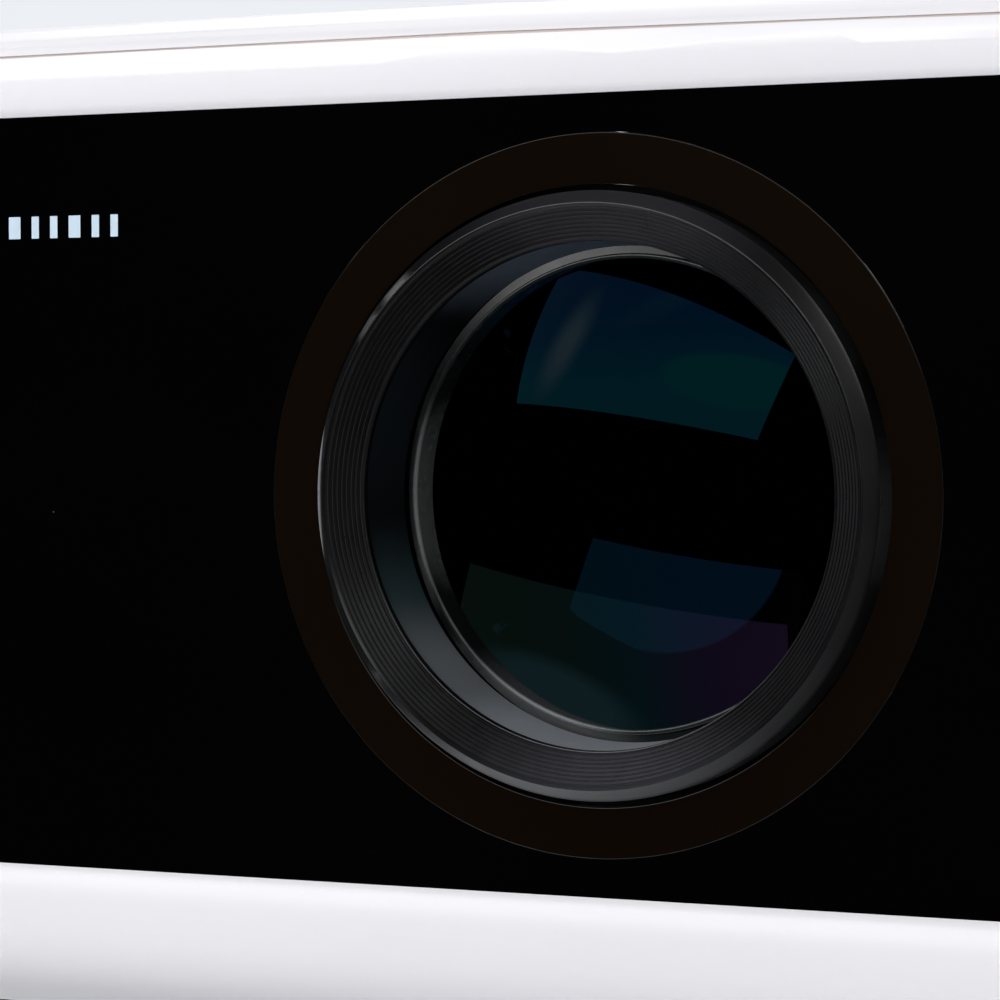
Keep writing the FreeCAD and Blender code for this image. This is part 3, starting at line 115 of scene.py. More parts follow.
class Shader:
    """A material's node tree, with short calls to add and join nodes."""

    def __init__(self, name: str) -> None:
        """Starts an empty node tree.

        Args:
            name: the material's name.
        """
        self.material = bpy.data.materials.new(name)
        self.material.use_nodes = True
        self.tree = self.material.node_tree
        self.tree.nodes.clear()

    def node(self, kind: str, settings: dict | None = None, **inputs: object) -> bpy.types.Node:
        """Adds a node.

        Args:
            kind: the node's type name without the ShaderNode prefix.
            settings: attributes to set on the node.
            **inputs: socket name (underscores for spaces) to a value or a socket to link from.

        Returns:
            The new node.
        """
        made = self.tree.nodes.new("ShaderNode" + kind)
        for key, value in (settings or {}).items():
            setattr(made, key, value)
        for key, value in inputs.items():
            self.feed(made.inputs[key.replace("_", " ")], value)
        return made

    def feed(self, socket: bpy.types.NodeSocket, value: object) -> None:
        """Links a socket to another, or sets its value."""
        if isinstance(value, bpy.types.NodeSocket):
            self.tree.links.new(value, socket)
        else:
            socket.default_value = value

    def math(self, operation: str, first: object, second: object = 0.0) -> bpy.types.NodeSocket:
        """Adds a Math node and returns its output."""
        made = self.tree.nodes.new("ShaderNodeMath")
        made.operation = operation
        self.feed(made.inputs[0], first)
        self.feed(made.inputs[1], second)
        return made.outputs[0]

    def from_axis(self, place: bpy.types.NodeSocket,
                  axis: tuple[float, float]) -> tuple[bpy.types.NodeSocket, bpy.types.NodeSocket]:
        """Adds the nodes of the distances across and up from an axis, given in millimetres."""
        parts = self.node("SeparateXYZ", Vector=place)
        across, _, up = parts.outputs
        return self.math("SUBTRACT", across, axis[0] * MM), self.math("SUBTRACT", up, axis[1] * MM)

    def blend(self, factor: object, first: object, second: object) -> bpy.types.NodeSocket:
        """Adds a colour Mix node and returns its colour."""
        made = self.tree.nodes.new("ShaderNodeMix")
        made.data_type = "RGBA"
        self.feed(made.inputs[0], factor)
        self.feed(made.inputs[6], first)
        self.feed(made.inputs[7], second)
        return made.outputs[2]

    def span(self, value: object, low: float, high: float, to_low: float, to_high: float) -> bpy.types.NodeSocket:
        """Adds a smooth Map Range node and returns its result."""
        made = self.tree.nodes.new("ShaderNodeMapRange")
        made.interpolation_type = "SMOOTHSTEP"
        for slot, number in enumerate((value, low, high, to_low, to_high)):
            self.feed(made.inputs[slot], number)
        return made.outputs[0]

    def finish(self, surface: bpy.types.NodeSocket) -> bpy.types.Material:
        """Links the surface to the output and returns the material."""
        output = self.tree.nodes.new("ShaderNodeOutputMaterial")
        self.tree.links.new(surface, output.inputs["Surface"])
        return self.material


@dataclass(frozen=True)
class PaintedLightPatch:
    """Soft-edged elliptical patch of another colour, seen along the lens axis, used for painted highlights and painted
    reflections.

    Attributes:
        centre: its middle (across, up) from the lens axis in millimetres.
        reach: its half sizes in millimetres.
        turn: its turn in degrees.
        soft: share of the half size over which it fades.
        tint: its painted colour.
    """

    centre: tuple[float, float]
    reach: tuple[float, float]
    turn: float
    soft: float
    tint: tuple[float, float, float]

    def mask(self, made: Shader, across: bpy.types.NodeSocket, up: bpy.types.NodeSocket) -> bpy.types.NodeSocket:
        """Adds the nodes of the patch's mask: 1 inside the ellipse, 0 outside.

        Args:
            made: the shader being built.
            across: distance from the axis along X in metres.
            up: distance from the axis along Z in metres.

        Returns:
            The mask.
        """
        c, s = math.cos(math.radians(self.turn)), math.sin(math.radians(self.turn))
        x = made.math("SUBTRACT", across, self.centre[0] * MM)
        z = made.math("SUBTRACT", up, self.centre[1] * MM)
        along = made.math("ADD", made.math("MULTIPLY", x, c), made.math("MULTIPLY", z, s))
        aside = made.math("SUBTRACT", made.math("MULTIPLY", z, c), made.math("MULTIPLY", x, s))
        u = made.math("DIVIDE", along, self.reach[0] * MM)
        v = made.math("DIVIDE", aside, self.reach[1] * MM)
        far = made.math("SQRT", made.math("ADD", made.math("MULTIPLY", u, u), made.math("MULTIPLY", v, v)))
        return made.span(far, 1 - self.soft, 1.0, 1.0, 0.0)


@dataclass(frozen=True)
class Finish:
    """One procedural finish.

    Attributes:
        name: the material's name.
        colour: base colour, linear.
        roughness: mean roughness.
        metallic: 0 for plastics, 1 for metals.
        pattern: kind of fine relief.
        cell: size of the relief's cells in millimetres.
        relief: height of the relief in millimetres.
        mottle: share by which the colour varies.
        mottle_size: size of the colour's patches in millimetres.
        smudge: range of the roughness, from handling and polish.
        coat: weight of a clear coat.
        specular: strength of the reflection head on.
        sheen: weight of the soft edge glow of cloth and foam.
        dust: share of cells that hold a speck of dust.
        painted_lights: painted highlights and painted reflections, as patches of other colours round the lens axis.
        axis: X and Z of the lens axis in millimetres, for the patches.
    """

    name: str
    colour: tuple[float, float, float]
    roughness: float
    metallic: float = 0.0
    pattern: Pattern = Pattern.PEEL
    cell: float = 1.2
    relief: float = 0.002
    mottle: float = 0.03
    mottle_size: float = 40.0
    smudge: float = 0.05
    coat: float = 0.0
    specular: float = 0.5
    sheen: float = 0.0
    dust: float = 0.0
    painted_lights: tuple[PaintedLightPatch, ...] = ()
    axis: tuple[float, float] = (0.0, 0.0)

    def build(self) -> bpy.types.Material:
        """Makes the material.

        Returns:
            A Principled material whose colour, roughness and bump all vary.
        """
        made = Shader(self.name)
        place = made.node("TexCoord").outputs["Object"]
        patches = made.node("TexNoise", Vector=place, Scale=1 / (self.mottle_size * MM), Detail=4.0).outputs["Fac"]
        tint = made.span(patches, 0.2, 0.8, 0.0, 1.0)
        dark = tuple(c * (1 - self.mottle) for c in self.colour) + (1.0,)
        light = tuple(min(c * (1 + self.mottle), 1.0) for c in self.colour) + (1.0,)
        colour = made.blend(tint, dark, light)
        # Painted light: highlights and reflections are painted into the base colour as soft patches round the lens
        # axis.
        if self.painted_lights:
            across, up = made.from_axis(place, self.axis)
            for painted_patch in self.painted_lights:
                colour = made.blend(painted_patch.mask(made, across, up), colour, (*painted_patch.tint, 1.0))
        marks = made.node("TexNoise", Vector=place, Scale=1 / (0.35 * self.mottle_size * MM), Detail=6.0,
                          Distortion=0.6).outputs["Fac"]
        low, high = max(self.roughness - self.smudge, 0.0), min(self.roughness + self.smudge, 1.0)
        rough = made.span(marks, 0.15, 0.85, low, high)
        height, colour = self.relief_nodes(made, place, colour)
        if self.dust:
            specks = made.node("TexVoronoi", Vector=place, Scale=1 / (2.2 * MM), Randomness=1.0)
            chosen = made.math("LESS_THAN", made.node("SeparateColor", Color=specks.outputs["Color"]).outputs[0],
                               self.dust)
            near = made.span(specks.outputs["Distance"], 0.0, 0.05, 1.0, 0.0)
            speck = made.math("MULTIPLY", chosen, near)
            colour = made.blend(speck, colour, (0.10, 0.11, 0.13, 1.0))
            rough = made.math("MAXIMUM", rough, speck)
        bump = made.node("Bump", Height=height, Distance=self.relief * MM, Strength=1.0)
        surface = made.node("BsdfPrincipled", Base_Color=colour, Roughness=rough, Metallic=self.metallic,
                            Normal=bump.outputs[0], Coat_Weight=self.coat, Coat_Roughness=0.04,
                            Specular_IOR_Level=self.specular, Sheen_Weight=self.sheen, Sheen_Roughness=0.5)
        return made.finish(surface.outputs[0])

    def relief_nodes(
        self, made: Shader, place: bpy.types.NodeSocket, colour: bpy.types.NodeSocket
    ) -> tuple[bpy.types.NodeSocket, bpy.types.NodeSocket]:
        """Adds the nodes of this finish's fine relief.

        Args:
            made: the shader being built.
            place: object coordinates.
            colour: the colour so far.

        Returns:
            The relief's height and the colour, which some patterns change.
        """
        scale = 1 / (self.cell * MM)
        if self.pattern is Pattern.BRUSHED:
            stretched = made.node("Mapping", Vector=place, Scale=(0.03, 1.0, 1.0)).outputs[0]
            return made.node("TexNoise", Vector=stretched, Scale=scale, Detail=5.0).outputs["Fac"], colour
        if self.pattern is Pattern.FOAM:
            # The cell middles are painted near black: painted shade in the pores, with the cell walls in the finish's
            # colour.
            cells = made.node("TexVoronoi", {"feature": "DISTANCE_TO_EDGE"}, Vector=place, Scale=scale)
            edge = made.span(cells.outputs["Distance"], 0.0, 0.25, 1.0, 0.0)
            dark = made.blend(edge, (0.004, 0.004, 0.005, 1.0), colour)
            return edge, dark
        if self.pattern is Pattern.FIBRE:
            strands = made.node("TexNoise", Vector=place, Scale=scale, Detail=8.0, Distortion=3.0).outputs["Fac"]
            paler = tuple(min(2.2 * c, 1.0) for c in self.colour) + (1.0,)
            return strands, made.blend(made.span(strands, 0.5, 0.75, 0.0, 0.5), colour, paler)
        if self.pattern is Pattern.TRACKS:
            cells = made.node("TexVoronoi", {"distance": "MANHATTAN", "feature": "F2"}, Vector=place, Scale=scale)
            lanes = made.math("PINGPONG", made.math("MULTIPLY", cells.outputs["Distance"], 6.0), 1.0)
            copper = made.span(lanes, 0.55, 0.65, 0.0, 1.0)
            paler = tuple(min(1.9 * c, 1.0) for c in self.colour) + (1.0,)
            return copper, made.blend(copper, colour, paler)
        fine = made.node("TexNoise", Vector=place, Scale=scale, Detail=3.0).outputs["Fac"]
        if self.pattern is Pattern.PEEL:
            return fine, colour
        pits = made.node("TexVoronoi", {"feature": "SMOOTH_F1"}, Vector=place, Scale=1.3 * scale)
        return made.math("ADD", fine, pits.outputs["Distance"]), colour


@dataclass(frozen=True)
class Layer:
    """One reflecting surface of the lens.

    Attributes:
        tints: painted colours of its reflection, evenly spaced over the run.
        run: start and end of the colour run in millimetres from the axis.
        upright: whether the colours run up rather than across.
        hollow: radius of a surface that is hollow from the front, or 0 for the glass's own curve.
        shift: where the hollow surface's axis stands across, in millimetres.
        painted_lights: painted reflection patches of other colours.
        window: patch outside which the layer's reflection is painted out black, if any.
    """

    tints: tuple[tuple[float, float, float], ...]
    run: tuple[float, float]
    upright: bool = False
    hollow: float = 0.0
    shift: float = 0.0
    painted_lights: tuple[PaintedLightPatch, ...] = ()
    window: PaintedLightPatch | None = None

    def build(self, made: Shader, across: bpy.types.NodeSocket, up: bpy.types.NodeSocket,
              rough: bpy.types.NodeSocket) -> bpy.types.NodeSocket:
        """Adds the layer's mirror.

        Args:
            made: the shader being built.
            across: distance from the axis along X in metres.
            up: distance from the axis along Z in metres.
            rough: its roughness.

        Returns:
            The mirror's shader output.
        """
        share = made.span(up if self.upright else across, self.run[0] * MM, self.run[1] * MM, 0.0, 1.0)
        ramp = made.node("ValToRGB", Fac=share)
        stops = ramp.color_ramp.elements
        while len(stops) < len(self.tints):
            stops.new(0.5)
        for i, tint in enumerate(self.tints):
            stops[i].position = i / (len(self.tints) - 1)
            stops[i].color = (*tint, 1.0)
        colour = ramp.outputs[0]
        # Painted reflection: soft patches of other colours, then the reflection painted out black outside the window.
        for painted_patch in self.painted_lights:
            colour = made.blend(painted_patch.mask(made, across, up), colour, (*painted_patch.tint, 1.0))
        if self.window:
            colour = made.blend(self.window.mask(made, across, up), (0.0, 0.0, 0.0, 1.0), colour)
        mirror = made.node("BsdfPrincipled", Base_Color=colour, Metallic=1.0, Roughness=rough)
        if self.hollow:
            slope = -1.0 / (self.hollow * MM)
            offset = made.math("SUBTRACT", across, self.shift * MM)
            bent = made.node("CombineXYZ", X=made.math("MULTIPLY", offset, slope), Y=-1.0,
                             Z=made.math("MULTIPLY", up, slope))
            bowl = made.node("VectorMath", {"operation": "NORMALIZE"})
            made.feed(bowl.inputs[0], bent.outputs[0])
            made.feed(mirror.inputs["Normal"], bowl.outputs[0])
        return mirror.outputs[0]


@dataclass(frozen=True)
class CoatedGlass:
    """Dark coated lens glass: its front mirrors the right way up, and deeper hollow surfaces upside down; each
    reflection's tint is painted by place over the glass, in the colours of its coating.

    Attributes:
        name: the material's name.
        layers: the three mirroring surfaces.
        axis: X and Z of the lens axis in millimetres.
    """

    name: str
    layers: tuple[Layer, Layer, Layer]
    axis: tuple[float, float]

    def build(self) -> bpy.types.Material:
        """Makes the material.

        Returns:
            An even mix of the three mirrors.
        """
        made = Shader(self.name)
        place = made.node("TexCoord").outputs["Object"]
        across, up = made.from_axis(place, self.axis)
        haze = made.node("TexNoise", Vector=place, Scale=1 / (9 * MM), Detail=4.0).outputs["Fac"]
        rough = made.span(haze, 0.3, 0.8, 0.01, 0.03)
        front, middle, back = (layer.build(made, across, up, rough) for layer in self.layers)
        return made.finish(self.mix(made, 1 / 3, self.mix(made, 0.5, front, middle), back))

    def mix(self, made: Shader, share: float, first: bpy.types.NodeSocket,
            second: bpy.types.NodeSocket) -> bpy.types.NodeSocket:
        """Adds a Mix Shader node and returns its output."""
        both = made.tree.nodes.new("ShaderNodeMixShader")
        made.feed(both.inputs[0], share)
        made.feed(both.inputs[1], first)
        made.feed(both.inputs[2], second)
        return both.outputs[0]


def lens_layers() -> tuple[Layer, Layer, Layer]:
    """The reflections of the front lens: its own teal face, a green to violet bowl and a small blue bowl."""
    # The mirrors reflect the lights, and the colour that tints each reflection is painted by place; the patches on the
    # face and the bowl are painted reflections, and outside its window the deep layer's reflection is painted out
    # black.
    face = Layer(
        ((0.0003, 0.0086, 0.0121), (0.0003, 0.0089, 0.0132), (0.0003, 0.0062, 0.0128), (0.0003, 0.0041, 0.0121)),
        (4.0, 25.0),
        upright=True,
        painted_lights=(
            PaintedLightPatch((-8.5, 17.0), (2.6, 8.5), -28.0, 0.9, (0.0081, 0.0149, 0.0203)),
            PaintedLightPatch((12.0, 12.6), (9.5, 3.4), -8.0, 0.25, (0.0003, 0.0111, 0.0132)),
            PaintedLightPatch((3.0, 21.5), (9.0, 2.2), 24.0, 0.9, (0.0011, 0.0061, 0.0135)),
        ),
    )
    bowl = Layer(
        ((0.0019, 0.0041, 0.0032), (0.0016, 0.0043, 0.0041), (0.0011, 0.0046, 0.0065), (0.0046, 0.0022, 0.0081)),
        (-22.0, 14.0),
        hollow=62.0,
        shift=-1.5,
        painted_lights=(PaintedLightPatch((-11.0, -23.5), (13.0, 5.0), -20.0, 0.5, (0.0041, 0.0108, 0.0128)),),
    )
    deep = Layer(
        ((0.0004, 0.0041, 0.0076), (0.0004, 0.0041, 0.0097)),
        (-6.0, 14.0),
        hollow=39.0,
        shift=7.3,
        window=PaintedLightPatch((3.4, -3.3), (15.2, 14.8), 0.0, 0.03, (0.0000, 0.0000, 0.0000)),
    )
    return face, bowl, deep


class Palette:
    """Every finish of the projector, each made once when it is first asked for."""

    def __init__(self, finishes: Iterable[Finish | CoatedGlass]) -> None:
        """Keeps the finishes by name.

        Args:
            finishes: the finishes on offer.
        """
        self.finishes = {f.name: f for f in finishes}
        self.made: dict[str, bpy.types.Material] = {}

    def __getitem__(self, name: str) -> bpy.types.Material:
        """Material of the finish with that name."""
        if name not in self.made:
            self.made[name] = self.finishes[name].build()
        return self.made[name]


def projector_finishes(axis: tuple[float, float]) -> list[Finish | CoatedGlass]:
    """The finishes of this projector.

    Args:
        axis: X and Z of the lens axis in millimetres, for the lens coatings.

    Returns:
        The finishes.
    """
    grain, brushed = Pattern.GRAIN, Pattern.BRUSHED
    return [
        Finish("shell_white", (0.80, 0.79, 0.825), 0.32, relief=0.0012, cell=1.6, mottle=0.012, mottle_size=70,
               smudge=0.03, coat=0.10),
        Finish("seam_tan", (0.60, 0.53, 0.50), 0.62, pattern=grain, cell=0.3, relief=0.004, mottle=0.08),
        Finish("panel_black", (0.0006, 0.0006, 0.0008), 0.035, relief=0.0003, cell=4.0, smudge=0.02, mottle=0.2,
               dust=0.02),
        # The panel's edge finish: its lighter colour is a painted reflection of the white frame round the panel, and
        # its higher roughness also reflects the frame for real.
        Finish("panel_edge_reflection", (0.0085, 0.0088, 0.0105), 0.22, relief=0.0005, cell=2.0, smudge=0.04, mottle=0.1),
        Finish("ring_brown", (0.0042, 0.0024, 0.0012), 0.10, relief=0.0003, cell=3.0, smudge=0.03, mottle=0.12,
               specular=0.35, dust=0.01),
        # lens_satin's patches are painted highlights: a lighter top and bottom of the grooved face and a bright line
        # along its left rim.
        Finish("lens_satin", (0.0040, 0.0040, 0.0047), 0.31, pattern=grain, cell=0.16, relief=0.002, mottle=0.10,
               mottle_size=12, smudge=0.05, specular=0.55, axis=axis, painted_lights=(
                   PaintedLightPatch((3.0, 31.0), (26.0, 9.0), -4.0, 0.9, (0.020, 0.020, 0.024)),
                   PaintedLightPatch((3.0, -31.0), (26.0, 9.0), 4.0, 0.9, (0.028, 0.028, 0.034)),
                   PaintedLightPatch((-33.3, 2.0), (0.9, 22.0), 0.0, 0.6, (0.22, 0.225, 0.24)),
               )),
        # hood_satin's patches are painted light and painted reflections: a bluish-grey top, a faint left side, a teal
        # reflection of the glass at the lower left and a bright crescent along the bottom.
        Finish("hood_satin", (0.0035, 0.0038, 0.0045), 0.34, pattern=grain, cell=0.35, relief=0.003, mottle=0.06,
               mottle_size=9, smudge=0.05, axis=axis, painted_lights=(
                   PaintedLightPatch((-6.0, 26.0), (22.0, 8.0), 6.0, 0.9, (0.10, 0.125, 0.16)),
                   PaintedLightPatch((-25.0, 8.0), (8.0, 16.0), -18.0, 0.9, (0.012, 0.017, 0.022)),
                   PaintedLightPatch((-24.0, -14.0), (8.0, 14.0), 30.0, 0.9, (0.035, 0.062, 0.070)),
                   PaintedLightPatch((-18.0, -21.5), (15.0, 5.0), -42.0, 0.8, (0.20, 0.215, 0.235)),
                   PaintedLightPatch((-3.0, -27.5), (22.0, 5.5), -6.0, 0.6, (0.32, 0.345, 0.38)),
               )),
        # retainer_satin's patches are painted highlights at the left and lower left of the retaining ring.
        Finish("retainer_satin", (0.014, 0.018, 0.018), 0.26, cell=0.6, relief=0.0002, mottle=0.02,
               mottle_size=9, smudge=0.04, axis=axis, painted_lights=(
                   PaintedLightPatch((-26.5, -2.0), (3.0, 22.0), 0.0, 0.9, (0.16, 0.165, 0.165)),
                   PaintedLightPatch((-12.0, -25.0), (18.0, 5.0), -22.0, 0.8, (0.14, 0.15, 0.16)),
               )),
        Finish("flock_black", (0.004, 0.004, 0.004), 0.9, pattern=Pattern.FIBRE, cell=0.5, relief=0.01, specular=0.1),
        CoatedGlass("coated_glass", lens_layers(), axis),
        Finish("mirror_silver", (0.80, 0.81, 0.83), 0.03, metallic=1.0, relief=0.0002, cell=5.0, smudge=0.02),
        Finish("display_dark", (0.010, 0.011, 0.016), 0.12, relief=0.0005, cell=2.0, coat=0.4),
        Finish("clear_plate", (0.30, 0.34, 0.34), 0.08, relief=0.001, cell=2.0, coat=0.5),
        Finish("steel_bright", (0.56, 0.56, 0.57), 0.26, metallic=1.0, pattern=brushed, cell=0.25, relief=0.003,
               smudge=0.08),
        Finish("gold_contact", (0.83, 0.62, 0.28), 0.22, metallic=1.0, pattern=brushed, cell=0.2, relief=0.001),
        Finish("brass_knurled", (0.70, 0.50, 0.22), 0.30, metallic=1.0, pattern=grain, cell=0.4, relief=0.01,
               mottle=0.1, mottle_size=6),
        Finish("charcoal", (0.022, 0.022, 0.024), 0.50, pattern=grain, cell=0.4, relief=0.008, mottle=0.10),
        Finish("rotor_dark", (0.014, 0.014, 0.015), 0.34, relief=0.002, mottle=0.08),
        Finish("grille_grey", (0.115, 0.120, 0.130), 0.45, pattern=grain, cell=0.4, relief=0.007, mottle=0.06),
        Finish("inlay_grey", (0.055, 0.057, 0.062), 0.34, pattern=grain, cell=0.3, relief=0.003, mottle=0.05,
               mottle_size=25),
        Finish("key_white", (0.72, 0.72, 0.74), 0.38, pattern=grain, cell=0.3, relief=0.003, mottle=0.03,
               mottle_size=6),
        Finish("print_pale", (0.50, 0.62, 0.72), 0.45, pattern=grain, cell=0.12, relief=0.001, mottle=0.05,
               mottle_size=1.5),
        Finish("print_dark", (0.06, 0.062, 0.07), 0.5, pattern=grain, cell=0.12, relief=0.001, mottle=0.08,
               mottle_size=1.5),
        Finish("lamp_green", (0.05, 0.42, 0.14), 0.18, relief=0.0005, coat=0.4),
        Finish("lamp_amber", (0.62, 0.25, 0.03), 0.18, relief=0.0005, coat=0.4),
        Finish("foam_dark", (0.035, 0.035, 0.038), 0.95, pattern=Pattern.FOAM, cell=1.3, relief=0.25, sheen=0.2,
               specular=0.1),
        Finish("cone_fibre", (0.030, 0.030, 0.031), 0.85, pattern=Pattern.FIBRE, cell=1.4, relief=0.02, sheen=0.15,
               specular=0.2),
        Finish("board_green", (0.012, 0.085, 0.035), 0.32, pattern=Pattern.TRACKS, cell=5.0, relief=0.012, coat=0.2),
        Finish("alloy_fin", (0.60, 0.61, 0.63), 0.34, metallic=1.0, pattern=brushed, cell=0.4, relief=0.004),
        Finish("lead_red", (0.42, 0.02, 0.015), 0.42, relief=0.002, mottle=0.08),
        Finish("rubber_black", (0.012, 0.012, 0.013), 0.78, pattern=grain, cell=0.5, relief=0.02, mottle=0.15,
               mottle_size=8, specular=0.3),
        Finish("label_grey", (0.30, 0.31, 0.33), 0.4, pattern=grain, cell=0.3, relief=0.002, mottle=0.04),
    ]


# ---- Meshes from arrays --------------------------------------------------------------------------
@dataclass
class Patch:
    """Closed surface in millimetres.

    Attributes:
        points: vertices, one row each.
        quads: four-cornered faces.
        tris: three-cornered faces.
        finish: index of the piece's finish for these faces.
    """

    points: np.ndarray
    quads: np.ndarray
    tris: np.ndarray = field(default_factory=lambda: np.zeros((0, 3), int))
    finish: int = 0

    def outward(self) -> "Patch":
        """This patch with its faces turned outwards, judged by the sign of its volume."""
        a, b, c, d = (self.points[self.quads[:, i]] for i in range(4))
        volume = np.einsum("ij,ij->", a, np.cross(b, c)) + np.einsum("ij,ij->", a, np.cross(c, d))
        if len(self.tris):
            p, q, r = (self.points[self.tris[:, i]] for i in range(3))
            volume += np.einsum("ij,ij->", p, np.cross(q, r))
        if volume >= 0:
            return self
        return Patch(self.points, self.quads[:, ::-1], self.tris[:, ::-1], self.finish)


def grid_patch(points: np.ndarray, closed_rows: bool, capped: bool = False, finish: int = 0) -> Patch:
    """Surface through rows of points; every row is a closed loop.

    Args:
        points: array of rows, columns and coordinates.
        closed_rows: joins the last row to the first.
        capped: closes the first and last rows with a fan to their middles.
        finish: index of the finish.

    Returns:
        The surface, facing outwards.
    """
    rows, columns = points.shape[:2]
    index = np.arange(rows * columns).reshape(rows, columns)
    following = np.roll(index, -1, axis=1)
    last = rows if closed_rows else rows - 1
    upper = np.roll(index, -1, axis=0)[:last]
    upper_next = np.roll(following, -1, axis=0)[:last]
    quads = np.stack([index[:last], following[:last], upper_next, upper], -1).reshape(-1, 4)
    flat = points.reshape(-1, 3)
    tris = np.zeros((0, 3), int)
    if capped:
        ends = flat[index[0]].mean(0), flat[index[-1]].mean(0)
        first, second = len(flat), len(flat) + 1
        flat = np.vstack([flat, *ends])
        tris = np.vstack([
            np.stack([following[0], index[0], np.full(columns, first)], -1),
            np.stack([index[-1], following[-1], np.full(columns, second)], -1),
        ])
    return Patch(flat, quads, tris, finish).outward()


def turned(profile: np.ndarray, centre: Sequence[float], axis: str = "Y", segments: int = 192,
           finish: int = 0) -> Patch:
    """Surface of revolution: each profile point (radius, along) goes to centre + radius x (cos t, sin t) across
    the axis + along the axis.

    Args:
        profile: (radius, along) pairs; closed on itself, or from the axis back to the axis.
        centre: point on the axis.
        axis: "X", "Y" or "Z".
        segments: steps round the axis.
        finish: index of the finish.

    Returns:
        The closed surface.
    """
    profile = np.asarray(profile, float)
    on_axis = profile[0, 0] < 1e-6 and profile[-1, 0] < 1e-6
    rows = profile[1:-1] if on_axis else profile
    angle = np.arange(segments) * FULL_TURN / segments
    radial = {"X": (1, 2), "Y": (0, 2), "Z": (0, 1)}[axis]
    along = "XYZ".index(axis)
    points = np.zeros((len(rows), segments, 3)) + np.asarray(centre, float)
    points[..., radial[0]] += rows[:, :1] * np.cos(angle)
    points[..., radial[1]] += rows[:, :1] * np.sin(angle)
    points[..., along] += rows[:, 1:]
    patch = grid_patch(points, closed_rows=not on_axis, capped=on_axis, finish=finish)
    if on_axis:
        tip = np.array(centre, float)
        patch.points[-2:] = tip
        patch.points[-2, along] += profile[0, 1]
        patch.points[-1, along] += profile[-1, 1]
    return patch


def arc(centre: Sequence[float], radius: float, start: float, end: float, steps: int = 8) -> np.ndarray:
    """Points on a circle from one angle to another.

    Args:
        centre: middle of the circle.
        radius: its radius.
        start: first angle in degrees.
        end: last angle in degrees.
        steps: number of points.

    Returns:
        The points, one row each.
    """
    angle = np.radians(np.linspace(start, end, steps))
    return np.stack([centre[0] + radius * np.cos(angle), centre[1] + radius * np.sin(angle)], -1)


def rounded_outline(width: float, height: float, radius: float, spacing: float = 1.0) -> np.ndarray:
    """Rounded rectangle about the origin, walked at even spacing: straight runs and quarter circles.

    Args:
        width: size along the first axis.
        height: size along the second axis.
        radius: corner radius.
        spacing: distance between points.

    Returns:
        The outline's points.
    """
    w, h = width / 2 - radius, height / 2 - radius
    corners = [arc(c, radius, a, a + 90, 13) for c, a in (((w, h), 0), ((-w, h), 90), ((-w, -h), 180), ((w, -h), 270))]
    loop = np.vstack(corners + [corners[0][:1]])
    length = np.concatenate([[0], np.cumsum(np.linalg.norm(np.diff(loop, axis=0), axis=1))])
    extra = np.arange(0, length[-1], spacing)
    at = np.unique(np.round(np.concatenate([length[:-1], extra]), 4))
    return np.stack([np.interp(at, length, loop[:, i]) for i in (0, 1)], -1)


def ribbon(path: np.ndarray, width: float, lift: Lift, low: float, high: float) -> Patch:
    """Flat bar along a path: the path pushed half a width to each side, from one height to another.

    Args:
        path: points (u, v) of its middle line.
        width: its width.
        lift: function from (u, v, height) arrays to coordinates.
        low: underside.
        high: top.

    Returns:
        The closed bar.
    """
    path = np.asarray(path, float)
    run = np.gradient(path, axis=0)
    run /= np.linalg.norm(run, axis=1)[:, None]
    side = np.stack([-run[:, 1], run[:, 0]], -1) * width / 2
    ring = [(path + side, low), (path + side, high), (path - side, high), (path - side, low)]
    points = np.stack([lift(p[:, 0], p[:, 1], np.full(len(p), h)) for p, h in ring], 1)
    return grid_patch(points, closed_rows=False, capped=True)


